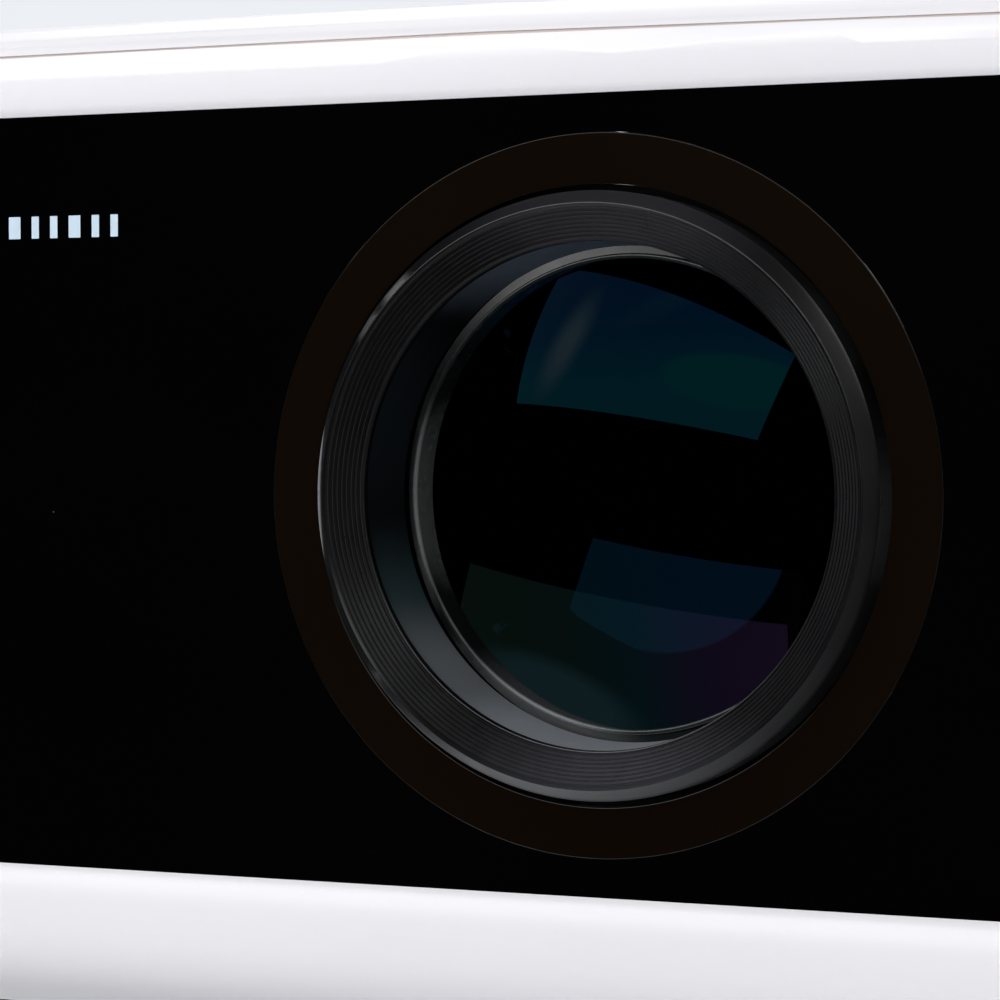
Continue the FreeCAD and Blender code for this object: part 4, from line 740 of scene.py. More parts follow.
# ---- Pieces --------------------------------------------------------------------------------------
class Workshop:
    """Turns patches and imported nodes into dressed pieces."""

    def __init__(self, palette: Palette) -> None:
        """Keeps the finishes.

        Args:
            palette: the projector's finishes.
        """
        self.palette = palette
        record = frame["record"]
        self.body_of = {n: b for b, nodes in record["behaviour"]["bodies"].items() for n in nodes}
        self.slot_of = {s["node"]: s["material_slot"] for s in record["subparts"]}

    def piece(self, name: str, patches: Sequence[Patch], finishes: Sequence[str], node: str,
              replaces: bool = False, sharp: float = 32.0, even: bool = True) -> bpy.types.Object:
        """Makes a piece from patches.

        Args:
            name: the piece's name.
            patches: its surfaces.
            finishes: its finishes, in the order that the patches count them.
            node: the node whose body it shares.
            replaces: whether it is shown instead of that node.
            sharp: edges that turn by more than this many degrees stay sharp.
            even: lets the larger faces steer the shading, so that flats look flat.

        Returns:
            The finished object.
        """
        counts = np.cumsum([0] + [len(p.points) for p in patches])
        points = np.vstack([p.points for p in patches]) * MM
        faces: list[list[int]] = []
        index: list[int] = []
        for patch, start in zip(patches, counts):
            for block in (patch.quads, patch.tris):
                faces += (block + start).tolist()
                index += [patch.finish] * len(block)
        mesh = bpy.data.meshes.new(name)
        mesh.from_pydata(points.tolist(), [], faces)
        mesh.polygons.foreach_set("material_index", np.array(index, np.int32))
        made = self.mount(name, mesh, finishes, node, replaces, sharp)
        if even:
            self.even_shading(made)
        return made

    def refined(self, node: str, finish: str, bevel: float = 0.0, sharp: float = 32.0) -> bpy.types.Object:
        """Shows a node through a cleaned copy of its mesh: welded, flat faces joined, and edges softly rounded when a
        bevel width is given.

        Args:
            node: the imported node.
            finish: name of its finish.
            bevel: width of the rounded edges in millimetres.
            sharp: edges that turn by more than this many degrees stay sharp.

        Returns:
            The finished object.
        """
        mesh = frame["nodes"][node].data.copy()
        mesh.materials.clear()
        tool = bmesh.new()
        tool.from_mesh(mesh)
        bmesh.ops.remove_doubles(tool, verts=tool.verts, dist=2e-6)
        bmesh.ops.dissolve_limit(tool, angle_limit=math.radians(0.5), verts=tool.verts, edges=tool.edges)
        tool.to_mesh(mesh)
        tool.free()
        for extra in ("custom_normal", "sharp_face", "sharp_edge"):
            if extra in mesh.attributes:
                mesh.attributes.remove(mesh.attributes[extra])
        made = self.mount(node + "_skin", mesh, [finish], node, True, sharp)
        if bevel:
            edge = made.modifiers.new("edge", "BEVEL")
            edge.width = bevel * MM
            edge.segments = 2
            edge.limit_method = "ANGLE"
            edge.angle_limit = math.radians(40)
        self.even_shading(made)
        return made

    def even_shading(self, made: bpy.types.Object) -> None:
        """Lets the larger faces steer a piece's shading, so that its flats look flat."""
        weighted = made.modifiers.new("even shading", "WEIGHTED_NORMAL")
        weighted.keep_sharp = True
        weighted.weight = 80

    def mount(self, name: str, mesh: bpy.types.Mesh, finishes: Sequence[str], node: str, replaces: bool,
              sharp: float) -> bpy.types.Object:
        """Gives a mesh its finishes, shading and body.

        Args:
            name: the object's name.
            mesh: its mesh.
            finishes: names of its finishes.
            node: the node whose body it shares.
            replaces: whether it is shown instead of that node.
            sharp: edges that turn by more than this many degrees stay sharp.

        Returns:
            The object.
        """
        mesh.update(calc_edges=True)
        for finish in finishes:
            mesh.materials.append(self.palette[finish])
        mesh.polygons.foreach_set("use_smooth", np.ones(len(mesh.polygons), bool))
        mesh.set_sharp_from_angle(angle=math.radians(sharp))
        made = bpy.data.objects.new(name, mesh)
        bpy.context.scene.collection.objects.link(made)
        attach(made, self.body_of[node])
        self.slot_of[node]
        if replaces:
            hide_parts(node)
        LOG.info("piece %s: %d faces on body %s", name, len(mesh.polygons), self.body_of[node])
        return made

    def dress(self, node: str, finish: str) -> None:
        """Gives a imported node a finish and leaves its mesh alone.

        Args:
            node: the node.
            finish: name of its finish.
        """
        shown = frame["nodes"][node]
        shown.data.materials.clear()
        shown.data.materials.append(self.palette[finish])
        LOG.info("node %s: %s", node, finish)


@dataclass(frozen=True)
class Datum:
    """Places that several sub-assemblies share, in millimetres.

    Attributes:
        axis_x: X of the lens axis.
        axis_z: Z of the lens axis.
        panel_y: front of the black panel.
        top: highest point of the roof.
        arch: radius of the roof's side-to-side arch.
    """

    axis_x: float
    axis_z: float
    panel_y: float
    top: float
    arch: float = 6500.0

    @classmethod
    def from_frame(cls) -> "Datum":
        """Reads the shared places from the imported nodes."""
        ring = box_of("front_ring")
        return cls(ring.centre[0], ring.centre[2], box_of("front_panel").low[1], box_of("top_cover").high[2])

    def roof(self, x: np.ndarray, y: np.ndarray, height: np.ndarray) -> np.ndarray:
        """Coordinates of points at a height above the arched roof: top - x^2 / (2 arch) + height."""
        return np.stack([x, y, self.top - x**2 / (2 * self.arch) + height], -1)


@dataclass
class Casing:
    """White shells, the trim in their seam and the grilles let into them."""

    shop: Workshop

    def build(self) -> None:
        """Shows the shells through cleaned copies."""
        for node in ("top_cover", "bottom_case", "front_bezel"):
            skin = self.shop.refined(node, "shell_white")
            skin.visible_glossy = node != "front_bezel"
        self.shop.refined("trim_band", "seam_tan")
        self.shop.refined("exhaust_grille", "grille_grey", bevel=0.25)
        self.shop.refined("filter_cover", "grille_grey", bevel=0.25)
        self.shop.refined("rear_panel", "charcoal", bevel=0.2)
        self.shop.refined("control_inlay", "inlay_grey", bevel=0.12)

    def dress(self) -> None:
        """Finishes for the small parts that are shown as packed."""
        self.shop.dress("screws", "steel_bright")
        self.shop.dress("threaded_inserts", "brass_knurled")


@dataclass
class FrontPanel:
    """Gloss black panel with its inset ring and printed mark.

    Attributes:
        shop: makes the pieces.
        datum: shared places.
        edge: rounding of the panel's edge.
        corner: corner radius of the panel.
        ring_radius: radius of the inset ring's pocket.
        ring_bore: bore of the inset ring.
        ring_depth: thickness of the inset ring.
        mark_bars: number of bars in the printed mark.
    """

    shop: Workshop
    datum: Datum
    edge: float = 0.35
    corner: float = 7.9
    ring_radius: float = 40.0
    ring_bore: float = 34.3
    ring_depth: float = 1.6
    mark_bars: int = 9

    def loop(self, outer: np.ndarray, inset: float, depth: float) -> np.ndarray:
        """Row of points round the panel, inset from its outline."""
        size = box_of("front_panel").size
        shape = rounded_outline(size[0] - 2 * inset, size[2] - 2 * inset, self.corner - inset)
        share = np.linspace(0, 1, len(outer), endpoint=False)
        own = np.linspace(0, 1, len(shape), endpoint=False)
        both = [np.interp(share, own, shape[:, i], period=1.0) for i in (0, 1)]
        return np.stack([both[0], np.full(len(outer), self.datum.panel_y + depth), both[1] + self.datum.axis_z], -1)

    def build(self) -> None:
        """Makes the panel, the ring and the mark."""
        size = box_of("front_panel").size
        outer = rounded_outline(size[0], size[2], self.corner)
        away = outer - np.array([self.datum.axis_x, 0.0])
        away /= np.linalg.norm(away, axis=1)[:, None]
        e = self.edge
        rows = [self.loop(outer, e * (1 - math.sin(a)), e * (1 - math.cos(a))) for a in np.radians([90, 60, 30, 0])]
        for radius, depth in ((self.ring_radius, 0.0), (self.ring_radius, self.ring_depth + 0.02),
                              (self.ring_bore + 1.5, self.ring_depth + 0.02), (self.ring_bore + 1.5, size[1])):
            rows.append(np.stack([self.datum.axis_x + radius * away[:, 0],
                                  np.full(len(away), self.datum.panel_y + depth),
                                  self.datum.axis_z + radius * away[:, 1]], -1))
        rows.append(self.loop(outer, 0.0, size[1]))
        patch = grid_patch(np.stack(rows), closed_rows=True)
        # The bevel rows take the lighter edge finish, partly a painted reflection of the white frame.
        bevel = np.arange(len(patch.quads)) < 3 * len(outer)
        parts = [Patch(patch.points, patch.quads[~bevel]), Patch(patch.points, patch.quads[bevel], finish=1)]
        self.shop.piece("gloss_panel", parts, ["panel_black", "panel_edge_reflection"], "front_panel",
                        replaces=True).visible_glossy = False

        r, b, d = self.ring_radius - 0.05, self.ring_bore, self.ring_depth
        section = np.vstack([arc((r - 0.12, 0.12), 0.12, 0, -90, 4), arc((b + 0.12, 0.12), 0.12, -90, -180, 4),
                             [(b, d), (r, d)]])
        ring = turned(section, (self.datum.axis_x, self.datum.panel_y + 0.02, self.datum.axis_z), segments=256)
        self.shop.piece("inset_ring", [ring], ["ring_brown"], "lens_surround", replaces=True).visible_glossy = False
        self.mark()

    def mark(self) -> None:
        """Printed row of plain bars at the left of the panel: equal heights, widths in a simple rhythm."""
        left, right, foot, height = -110.0, -60.4, 29.9, 2.6
        widths = np.where(np.arange(self.mark_bars) % 3 == 2, 1.6, 1.0)
        gap = 1.55
        edges = self.datum.axis_x + right - np.cumsum(widths + gap)
        bars = []
        for x, width in zip(edges + gap + widths / 2, widths):
            if x - width / 2 < self.datum.axis_x + left:
                continue
            line = np.array([[x, self.datum.axis_z + foot], [x, self.datum.axis_z + foot + height]])
            bars.append(ribbon(line, width, self.on_panel, -0.01, 0.02))
        self.shop.piece("printed_bars", bars, ["print_pale"], "front_panel")

    def on_panel(self, u: np.ndarray, v: np.ndarray, height: np.ndarray) -> np.ndarray:
        """Coordinates of points on the panel, raised forwards by a height."""
        return np.stack([u, self.datum.panel_y - height, v], -1)


@dataclass
class LensFront:
    """Grooved lens ring, retaining ring and front glass, which slide with the barrel.

    Attributes:
        shop: makes the pieces.
        datum: shared places.
        face_out: outer radius of the grooved face.
        face_in: radius of the mouth.
        terraces: number of flat lands across the face.
        proud: how far the face's rim stands in front of the panel.
        mouth_drop: how much deeper the mouth lies than the face's rim.
        groove: depth of the line between two lands.
        hood_end: depth of the hood's end behind the panel.
        retainer_front: depth of the retaining ring's nose behind the panel.
        retainer_radius: outer radius of the retaining ring's nose.
        nose: radius of its rounded edge.
        glass_rim: depth of the glass's rim behind the panel.
        clear: radius of the open glass.
        glass_radius: radius of the glass's rim.
        glass_edge: thickness of the glass at its rim.
        front_curve: radius of the glass's front surface.
        back_curve: radius of its back surface.
    """

    shop: Workshop
    datum: Datum
    face_out: float = 32.2
    face_in: float = 28.05
    proud: float = 3.1
    mouth_drop: float = 2.6
    terraces: int = 8
    groove: float = 0.13
    hood_end: float = 9.6
    retainer_front: float = 9.9
    retainer_radius: float = 27.1
    nose: float = 0.3
    glass_rim: float = 15.6
    clear: float = 27.2
    glass_radius: float = 28.6
    glass_edge: float = 4.0
    front_curve: float = 60.0
    back_curve: float = 150.0

    @property
    def centre(self) -> tuple[float, float, float]:
        """Point on the lens axis in the panel's plane."""
        return (self.datum.axis_x, self.datum.panel_y, self.datum.axis_z)

    def face_section(self) -> np.ndarray:
        """Section of the face from the mouth outwards: flat lands, each ending in a narrow V line."""
        pitch = (self.face_out - self.face_in - 0.55) / self.terraces
        rise = self.mouth_drop / (self.face_out - self.face_in)
        start = self.face_in + 0.30 + pitch * np.arange(self.terraces)
        across = np.array([0.0, 0.10, 0.16, 0.22])[None, :] * np.ones((self.terraces, 1))
        radius = start[:, None] + across
        drop = np.array([0.0, 1.0, 1.0, 0.0]) * self.groove
        step = 0.035 * np.array([0.0, 0.0, 1.0, 1.0])
        depth = -(self.proud - self.mouth_drop) - rise * (radius - self.face_in) + drop + step - 0.035
        return np.stack([radius.ravel(), depth.ravel()], -1)

    def build(self) -> None:
        """Makes the three turned pieces."""
        lip = -(self.proud - self.mouth_drop)
        mouth = np.vstack([[(self.face_in + 0.6, lip + 1.0), (self.face_in, lip + 0.9)],
                           arc((self.face_in + 0.16, lip + 0.16), 0.16, 180, 270, 5)])
        rim = np.vstack([arc((self.face_out - 0.16, -self.proud + 0.16), 0.16, -95, -20, 5),
                         [(33.20, -1.66)], arc((33.25, -1.30), 0.25, -20, 0, 3), [(33.5, 3.0), (30.3, 3.0)]])
        outside = np.vstack([mouth, self.face_section(), rim])
        hood = np.array([(29.1, self.hood_end), (28.0, self.hood_end), (27.9, self.hood_end - 0.1), (28.0, 7.5),
                         (28.3, 3.5), (28.6, 1.2), (28.75, 0.7)])
        section = np.vstack([outside, hood])
        ring = turned(section, self.centre, segments=FINE_TURN)
        kinds = np.repeat(np.arange(len(section)) >= len(outside) - 1, FINE_TURN).astype(int)
        parts = [Patch(ring.points, ring.quads[kinds == k], finish=k) for k in (0, 1)]
        ring_piece = self.shop.piece("lens_ring", parts, ["lens_satin", "hood_satin"], "front_ring",
                                     replaces=True, sharp=28)
        round_it = [frame["nodes"][node] for node in ("lens_barrel", "lens_sleeve", "focus_ring", "cam_pins")]
        for made in (ring_piece, self.retainer(), *round_it):
            made.visible_glossy = False
        self.glass()

    def retainer(self) -> bpy.types.Object:
        """Retaining ring: a rounded nose, then a cone that widens down to the glass."""
        start = self.retainer_front
        nose = arc((self.retainer_radius - self.nose, start + self.nose), self.nose, 0, -180, 13)
        skirt = [(self.glass_radius, self.glass_rim), (self.glass_radius, start + 2.2),
                 (self.retainer_radius, start + 1.6)]
        section = np.vstack([skirt, nose, [(self.clear, self.glass_rim - 0.02)]])
        ring = turned(section, self.centre, segments=FINE_TURN)
        return self.shop.piece("retaining_ring", [ring], ["retainer_satin"], "glass_retainer", replaces=True)

    def glass(self) -> None:
        """Front glass: two spherical faces, depth = rim -/+ (sqrt(R^2 - r^2) - sqrt(R^2 - clear^2)), and a rim."""
        rim_back = self.glass_rim + self.glass_edge
        radius = self.clear * np.sin(np.linspace(0, math.pi / 2, 40))
        bulge = [np.sqrt(c**2 - radius**2) - math.sqrt(c**2 - self.clear**2) for c in
                 (self.front_curve, self.back_curve)]
        front = np.stack([radius, self.glass_rim - bulge[0]], -1)
        back = np.stack([radius, rim_back + bulge[1]], -1)[::-1]
        edge = np.array([(self.glass_radius, self.glass_rim + 0.02), (self.glass_radius, rim_back)])
        lens = turned(np.vstack([front, edge, back]), self.centre, segments=256)
        self.shop.piece("front_glass", [lens], ["coated_glass"], "front_lens", replaces=True, sharp=40, even=False)

    def dress(self) -> None:
        """Finishes for the parts inside the barrel."""
        for node in ("lens_barrel", "lens_spacers", "lens_sleeve"):
            self.shop.dress(node, "flock_black")
        for node in ("middle_lens", "rear_lens"):
            self.shop.dress(node, "clear_plate")
        self.shop.dress("cam_pins", "steel_bright")


@dataclass
class FocusDrive:
    """Focus dial with its grip ribs, and the parts that it turns.

    Attributes:
        shop: makes the pieces.
        datum: shared places.
        grips: ribs round the dial; not used.
    """

    shop: Workshop
    datum: Datum
    grips: int = 36

    def build(self) -> None:
        """Shows the dial through a cleaned copy, and marks its direction on the roof."""
        self.shop.refined("focus_dial", "grille_grey", bevel=0.15)
        dial = box_of("focus_dial")
        x, y = dial.centre[0], dial.low[1] + 4.0
        marks = []
        for side in (-1, 1):
            run = np.array([[x + side * 24, y], [x + side * 28, y]])
            marks.append(ribbon(run, 0.7, self.datum.roof, 0.005, 0.03))
            if side > 0:
                marks.append(ribbon(np.array([[x + 26.0, y - 2], [x + 26.0, y - 0.36]]), 0.7, self.datum.roof,
                                    0.005, 0.03))
                marks.append(ribbon(np.array([[x + 26.0, y + 0.36], [x + 26.0, y + 2]]), 0.7, self.datum.roof,
                                    0.005, 0.03))
        self.shop.piece("focus_marks", marks, ["print_dark"], "top_cover")

    def dress(self) -> None:
        """Finishes for the drive's hidden parts."""
        self.shop.dress("focus_ring", "charcoal")
        self.shop.dress("dial_axle", "steel_bright")


@dataclass
class Controls:
    """Keys with their printed signs and two small lamps.

    Attributes:
        shop: makes the pieces.
        datum: shared places.
        key_proud: height of the keys above the roof.
        line: width of the printed lines.
        pad_band: inner and outer radius of the band of arc keys.
        lamp_radius: radius of a lamp's dome.
        lamp_height: height of a lamp's dome.
    """

    shop: Workshop
    datum: Datum
    key_proud: float = 0.6
    line: float = 0.55
    pad_band: tuple[float, float] = (10.0, 19.5)
    lamp_radius: float = 1.1
    lamp_height: float = 0.35

    def build(self) -> None:
        """Makes the keys, their signs and the lamps."""
        for node in ("power_button", "menu_button", "ok_button", "right_key", "up_key", "left_key", "down_key"):
            self.shop.refined(node, "key_white", bevel=0.3)
        signs = {
            "power_button": [arc((0, 0), 2.4, 125, 415, 25), np.array([[0, 0.6], [0, 3.2]])],
            "menu_button": [np.array([[-2.4, h], [2.4, h]]) for h in (-1.8, 0.0, 1.8)],
            "ok_button": [arc((0, 0), 2.2, 0, 359, 33)],
        }
        for turn, node in enumerate(("right_key", "up_key", "left_key", "down_key")):
            a = math.radians(90 * turn)
            spin = np.array([[math.cos(a), math.sin(a)], [-math.sin(a), math.cos(a)]])
            chevron = np.array([[-0.9, 1.6], [0.7, 0.0], [-0.9, -1.6]]) @ spin
            signs[node] = [np.vstack([chevron[0], chevron[1]]), np.vstack([chevron[1], chevron[2]])]
        for node, lines in signs.items():
            middle = self.sign_place(node)
            bars = [ribbon(line + middle, self.line, self.on_key, -0.01, 0.02) for line in lines]
            self.shop.piece(node + "_sign", bars, ["print_dark"], node)
        self.lamps()

    def sign_place(self, node: str) -> np.ndarray:
        """Middle of a key's face: its box's middle, pushed out to the band's middle on the four arc keys."""
        box = box_of(node)
        middle = box.centre[:2].copy()
        if node.endswith("_key"):
            pad = box_of("ok_button").centre[:2]
            away = middle - pad
            middle = pad + away / np.linalg.norm(away) * sum(self.pad_band) / 2
        return middle

    def on_key(self, x: np.ndarray, y: np.ndarray, height: np.ndarray) -> np.ndarray:
        """Coordinates of points on the keys' arched tops."""
        return self.datum.roof(x, y, height + self.key_proud)

    def lamps(self) -> None:
        """Two lamp domes beside the inlay: depth = height x sqrt(1 - (r / radius)^2)."""
        pad = box_of("control_inlay")
        share = np.linspace(0, 1, 8)
        dome = np.stack([self.lamp_radius * share, self.lamp_height * np.sqrt(1 - share**2)], -1)
        for i, finish in enumerate(("lamp_green", "lamp_amber")):
            x, y = pad.low[0] + 40 + 24 * i, pad.low[1] - 7
            base = self.datum.roof(np.array([x]), np.array([y]), np.array([0.0]))[0]
            section = np.vstack([dome, [(self.lamp_radius, -0.2), (0.0, -0.2)]])
            self.shop.piece(finish, [turned(section, base, "Z", 32)], [finish], "top_cover")


@dataclass
class Cooling:
    """Fans, dust filter and heat sink.

    Attributes:
        shop: makes the pieces.
        blades: blades of each rotor.
        hub_share: radius of the hub as a share of the shroud's.
        tip_gap: distance from the blade tips to the shroud.
    """

    shop: Workshop
    blades: int = 9
    hub_share: float = 0.2
    tip_gap: float = 3.0

    def build(self) -> None:
        """Makes the two rotors with twisted blades."""
        for node in ("exhaust_fan_rotor", "intake_fan_rotor"):
            self.rotor(node)

    def rotor(self, node: str) -> None:
        """Rotor: a turned hub and blades whose pitch eases from hub to tip, each a closed curved plate.

        Args:
            node: the rotor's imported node, which gives its place and size.
        """
        box = box_of(node)
        centre, size = box.centre, box.size
        tip = size[1] / 2 - 0.2
        hub = self.hub_share * (tip + self.tip_gap)
        half = size[0] / 2
        section = np.array([(0.0, -half), (hub - 0.8, -half), (hub, -half + 0.8), (hub, half), (0.0, half)])
        patches = [turned(section, centre, "X", 64)]
        reach, chord = np.meshgrid(np.linspace(hub - 0.6, tip, 10), np.linspace(-1, 1, 12), indexing="ij")
        share = (reach - hub) / (tip - hub)
        pitch = np.radians(62 - 22 * share)
        width = 0.92 * (half - 0.6) / np.cos(pitch)
        camber = 0.16 * width * (1 - chord**2)
        along = np.clip(chord * width * np.cos(pitch) + camber * np.sin(pitch), -half + 0.5, half - 0.5)
        across = chord * width * np.sin(pitch) - camber * np.cos(pitch)
        for i in range(self.blades):
            start = FULL_TURN * i / self.blades
            faces = []
            for lift in (-0.4, 0.4):
                angle = start + (across + lift) / reach
                faces.append(np.stack([centre[0] + along, centre[1] + reach * np.cos(angle),
                                       centre[2] + reach * np.sin(angle)], -1))
            ring = np.concatenate([faces[0], faces[1][:, ::-1]], axis=1)
            patches.append(grid_patch(ring, closed_rows=False, capped=True))
        self.shop.piece(node + "_blades", patches, ["rotor_dark"], node, replaces=True)

    def dress(self) -> None:
        """Finishes for the fixed cooling parts."""
        for node in ("exhaust_fan_frame", "intake_fan_frame"):
            self.shop.dress(node, "charcoal")
        self.shop.dress("dust_filter", "foam_dark")
        for node in ("led_heatsink", "led_module"):
            self.shop.dress(node, "alloy_fin")


@dataclass
class Sockets:
    """Rear sockets with their contacts and printed signs.

    Attributes:
        shop: makes the pieces.
        data_marks: X and width of the bar above each data socket.
        jack_x: X of the two jacks.
        inlet_x: X of the mains inlet.
        sign_lift: height of the signs above the sockets' middle.
    """

    shop: Workshop
    data_marks: tuple[tuple[float, float], ...] = ((78.0, 9.0), (54.0, 9.0), (31.0, 7.0), (11.0, 7.0))
    jack_x: tuple[float, float] = (-8.0, -24.0)
    inlet_x: float = -80.0
    sign_lift: float = 9.5

    def build(self) -> None:
        """Shows the sockets through cleaned copies and prints a sign above each."""
        self.shop.refined("data_sockets", "steel_bright", bevel=0.12)
        self.shop.refined("jack_sockets", "charcoal", bevel=0.15)
        self.shop.refined("power_inlet", "charcoal", bevel=0.25)
        self.shop.refined("ir_window", "panel_black", bevel=0.15)
        back = box_of("rear_panel").high[1]

        def on_rear(u: np.ndarray, v: np.ndarray, height: np.ndarray) -> np.ndarray:
            """Coordinates of points on the rear panel, raised backwards by a height."""
            return np.stack([u, back + height, v], -1)

        row = box_of("data_sockets").centre[2] + self.sign_lift
        signs = []
        for x, width in self.data_marks:
            signs.append(ribbon(np.array([[x - width / 2, row], [x + width / 2, row]]), 0.7, on_rear, -0.01, 0.02))
        for x in self.jack_x:
            signs.append(ribbon(arc((x, row), 1.5, 0, 359, 25), 0.5, on_rear, -0.01, 0.02))
        signs.append(ribbon(arc((self.inlet_x, row + 3), 1.4, 10, 170, 13), 0.5, on_rear, -0.01, 0.02))
        signs.append(ribbon(arc((self.inlet_x + 2.8, row + 3), 1.4, 190, 350, 13), 0.5, on_rear, -0.01, 0.02))
        self.shop.piece("socket_signs", signs, ["print_pale"], "rear_panel")


@dataclass
class Inside:
    """Light engine, boards, speakers and leads."""

    shop: Workshop

    def dress(self) -> None:
        """Finishes for the parts behind the vents."""
        kinds = {
            "charcoal": ("engine_base", "engine_cover", "light_cone", "speaker_frames"),
            "clear_plate": ("fresnel_lenses", "heat_glass", "condenser_lens"),
            "mirror_silver": ("fold_mirror",),
            "display_dark": ("lcd_panel",),
            "board_green": ("main_board", "power_board", "key_board"),
            "cone_fibre": ("speaker_cones",),
            "lead_red": ("wire_leads",),
        }
        for finish, nodes in kinds.items():
            for node in nodes:
                self.shop.dress(node, finish)


@dataclass
class Underside:
    """Feet, and the rating plate printed with plain lines.

    Attributes:
        shop: makes the pieces.
        plate_width: size of the rating plate along X.
        plate_depth: size of the rating plate along Y.
    """

    shop: Workshop
    plate_width: float = 62.0
    plate_depth: float = 34.0

    def build(self) -> None:
        """Makes the rating plate: a rounded plate 0.15 mm thick with bars of different lengths on it."""
        floor = box_of("bottom_case").low[2]
        middle = np.array([52.0, 66.0])
        outline = rounded_outline(self.plate_width, self.plate_depth, 3.0, 2.0) + middle
        rows = [np.column_stack([outline, np.full(len(outline), floor + h)]) for h in (0.02, -0.12)]
        plate = grid_patch(np.stack(rows), closed_rows=False, capped=True)
        self.shop.piece("rating_plate", [plate], ["label_grey"], "bottom_case")

        def under(u: np.ndarray, v: np.ndarray, height: np.ndarray) -> np.ndarray:
            """Coordinates of points under the plate."""
            return np.stack([u, v, floor - 0.12 - height], -1)

        lines = []
        for i, share in enumerate((0.55, 0.9, 0.8, 0.9, 0.7, 0.35)):
            y = middle[1] + self.plate_depth / 2 - 5 - 4.6 * i
            start = middle[0] - self.plate_width / 2 + 5
            run = np.array([[start, y], [start + share * (self.plate_width - 10), y]])
            lines.append(ribbon(run, 1.0 if i else 1.8, under, -0.01, 0.02))
        self.shop.piece("rating_lines", lines, ["print_dark"], "bottom_case")
        self.shop.refined("front_foot_screw", "steel_bright", bevel=0.12)

    def dress(self) -> None:
        """Finishes for the feet."""
        for node in ("rear_feet", "front_foot_pad"):
            self.shop.dress(node, "rubber_black")


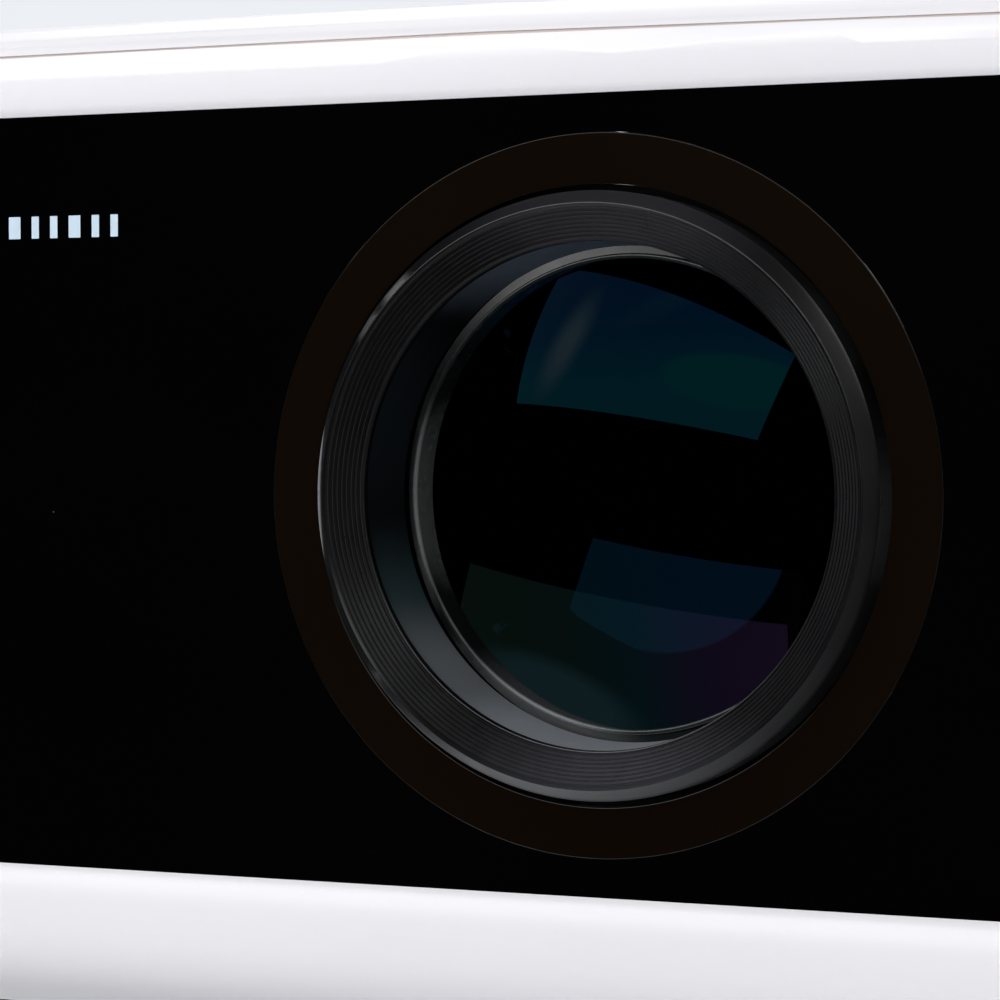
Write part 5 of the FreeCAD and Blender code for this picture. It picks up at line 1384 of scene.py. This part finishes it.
# ---- Studio --------------------------------------------------------------------------------------
@dataclass
class Studio:
    """Floor, lights, surroundings and camera.

    Attributes:
        datum: shared places.
        camera_offset: camera from the lens axis at the panel's plane.
        target_offset: point looked at, from the same place.
        lens: focal length of the camera.
        roll: turn of the camera about its view, in degrees.
        key_place: azimuth and elevation of the key light's middle, in degrees.
        key_facing: azimuth and elevation that the key light faces from.
        key_roll: turn of the key light about its own axis, in degrees.
        key_distance: distance of the key light.
        key_size: width and height of the key light.
        key_power: power of the key light in watts.
        top_power: power of the overhead light.
        side_power: power of the light at the upper right.
        fill_power: power of the fill light in front.
    """

    datum: Datum
    camera_offset: tuple[float, float, float] = (153.87, -358.89, 8.80)
    target_offset: tuple[float, float, float] = (-11.35, 0.0, -0.51)
    lens: float = 127.9
    roll: float = 0.13
    key_place: tuple[float, float] = (-16.9, 30.2)
    key_facing: tuple[float, float] = (-32.9, 29.6)
    key_roll: float = -1.5
    key_distance: float = 760.0
    key_size: tuple[float, float] = (975.0, 386.0)
    key_power: float = 3.9
    top_power: float = 5.8
    side_power: float = 1.0
    fill_power: float = 9.8

    def origin(self) -> np.ndarray:
        """Point on the lens axis in the panel's plane."""
        return np.array([self.datum.axis_x, self.datum.panel_y, self.datum.axis_z])

    def build(self) -> None:
        """Sets the whole studio."""
        self.floor()
        self.lights()
        self.surroundings()
        self.camera()

    def floor(self) -> None:
        """Round pale floor: rings of points out to three metres."""
        radius = np.array([3000.0, 1200.0, 400.0])
        angle = np.arange(96) * FULL_TURN / 96
        rows = np.zeros((6, 96, 3))
        rows[:3, :, 0], rows[:3, :, 1] = radius[::-1, None] * np.cos(angle), radius[::-1, None] * np.sin(angle)
        rows[3:, :, 0], rows[3:, :, 1] = radius[:, None] * np.cos(angle), radius[:, None] * np.sin(angle)
        rows[:3, :, 2], rows[3:, :, 2] = -0.05, -8.0
        patch = grid_patch(rows, closed_rows=False, capped=True)
        mesh = bpy.data.meshes.new("studio_floor")
        mesh.from_pydata((patch.points * MM).tolist(), [], patch.quads.tolist() + patch.tris.tolist())
        mesh.update()
        finish = Finish("floor_pale", (0.60, 0.605, 0.62), 0.75, pattern=Pattern.GRAIN, cell=2.0, relief=0.02,
                        mottle=0.01, mottle_size=300, specular=0.2)
        mesh.materials.append(finish.build())
        floor = bpy.data.objects.new("studio_floor", mesh)
        floor.visible_glossy = False
        bpy.context.scene.collection.objects.link(floor)

    def lamp(self, name: str, place: np.ndarray, facing: np.ndarray, size: tuple[float, float], power: float,
             roll: float = 0.0) -> bpy.types.Object:
        """Adds a rectangular soft light.

        Args:
            name: its name.
            place: its middle.
            facing: direction from the object towards the light's face.
            size: its width and height.
            power: its power in watts.
            roll: its turn about its own axis, in degrees.

        Returns:
            The light.
        """
        data = bpy.data.lights.new(name, "AREA")
        data.shape = "RECTANGLE"
        data.size, data.size_y = size[0] * MM, size[1] * MM
        data.energy = power
        made = bpy.data.objects.new(name, data)
        made.matrix_world = self.stance(place, -facing, roll)
        made.visible_camera = False
        bpy.context.scene.collection.objects.link(made)
        return made

    def stance(self, place: np.ndarray, along: np.ndarray, roll: float) -> Matrix:
        """Matrix of something at a place that looks along a direction, turned by a roll in degrees."""
        aim = Vector(tuple(along)).to_track_quat("-Z", "Y").to_matrix().to_4x4()
        return Matrix.Translation(Vector(tuple(place * MM))) @ aim @ Matrix.Rotation(math.radians(roll), 4, "Z")

    def towards(self, azimuth: float, elevation: float) -> np.ndarray:
        """Direction from the front of the projector: azimuth 0 is straight ahead, towards +X is positive."""
        a, e = math.radians(azimuth), math.radians(elevation)
        return np.array([math.sin(a) * math.cos(e), -math.cos(a) * math.cos(e), math.sin(e)])

    def lights(self) -> None:
        """Broad key light from the upper left, soft ones overhead and upper right, and a fill no gloss shows."""
        start = self.origin()
        self.lamp("key_softbox", start + self.key_distance * self.towards(*self.key_place),
                  self.towards(*self.key_facing), self.key_size, self.key_power, self.key_roll)
        self.lamp("top_softbox", np.array([0.0, 420.0, 1000.0]), np.array([0.0, 0.35, 1.0]), (1300.0, 900.0),
                  self.top_power)
        way = self.towards(62.0, 38.0)
        self.lamp("side_softbox", start + 900.0 * way, way, (420.0, 420.0), self.side_power)
        ahead = self.towards(-14.0, 3.0)
        fill = self.lamp("front_fill", start + 1500.0 * ahead, ahead, (800.0, 300.0), self.fill_power)
        fill.visible_glossy = False

    def surroundings(self) -> None:
        """Pale surroundings, darker in front of the lens, as a dark room is."""
        world = bpy.data.worlds.new("studio_air")
        bpy.context.scene.world = world
        world.use_nodes = True
        tree = world.node_tree
        tree.nodes.clear()
        way = tree.nodes.new("ShaderNodeTexCoord")
        parts = tree.nodes.new("ShaderNodeSeparateXYZ")
        tree.links.new(way.outputs["Generated"], parts.inputs[0])
        spread = tree.nodes.new("ShaderNodeMapRange")
        spread.interpolation_type = "SMOOTHSTEP"
        for slot, number in enumerate((0.0, -0.15, 0.5, 0.004, 0.95)):
            spread.inputs[slot].default_value = number
        tree.links.new(parts.outputs[1], spread.inputs[0])
        dim = tree.nodes.new("ShaderNodeBackground")
        dim.inputs[0].default_value = (0.95, 0.97, 1.0, 1.0)
        tree.links.new(spread.outputs[0], dim.inputs[1])
        pale = tree.nodes.new("ShaderNodeBackground")
        pale.inputs[0].default_value = (0.845, 0.868, 0.905, 1.0)
        seen = tree.nodes.new("ShaderNodeLightPath")
        both = tree.nodes.new("ShaderNodeMixShader")
        tree.links.new(seen.outputs["Is Camera Ray"], both.inputs[0])
        tree.links.new(dim.outputs[0], both.inputs[1])
        tree.links.new(pale.outputs[0], both.inputs[2])
        output = tree.nodes.new("ShaderNodeOutputWorld")
        tree.links.new(both.outputs[0], output.inputs[0])
        bpy.context.scene.view_settings.view_transform = "Standard"

    def camera(self) -> None:
        """Camera to the right of the lens, looking a little to the lens's left."""
        data = bpy.data.cameras.new("studio_camera")
        data.lens = self.lens
        data.sensor_width = 36.0
        data.clip_start, data.clip_end = 0.01, 20.0
        made = bpy.data.objects.new("studio_camera", data)
        place = self.origin() + np.array(self.camera_offset)
        look = self.origin() + np.array(self.target_offset)
        made.matrix_world = self.stance(place, look - place, -self.roll)
        bpy.context.scene.collection.objects.link(made)
        bpy.context.scene.camera = made


def main() -> None:
    """Builds every sub-assembly in order, dresses it and sets the studio."""
    logging.basicConfig(level=logging.INFO, format="%(message)s")
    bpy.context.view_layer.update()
    datum = Datum.from_frame()
    shop = Workshop(Palette(projector_finishes((datum.axis_x, datum.axis_z))))
    assemblies = [
        Casing(shop),
        FrontPanel(shop, datum),
        LensFront(shop, datum),
        FocusDrive(shop, datum),
        Controls(shop, datum),
        Cooling(shop),
        Sockets(shop),
        Inside(shop),
        Underside(shop),
    ]
    for assembly in assemblies:
        for step in ("build", "dress"):
            if hasattr(assembly, step):
                getattr(assembly, step)()
    Studio(datum).build()


if __name__ == "__main__":
    main()
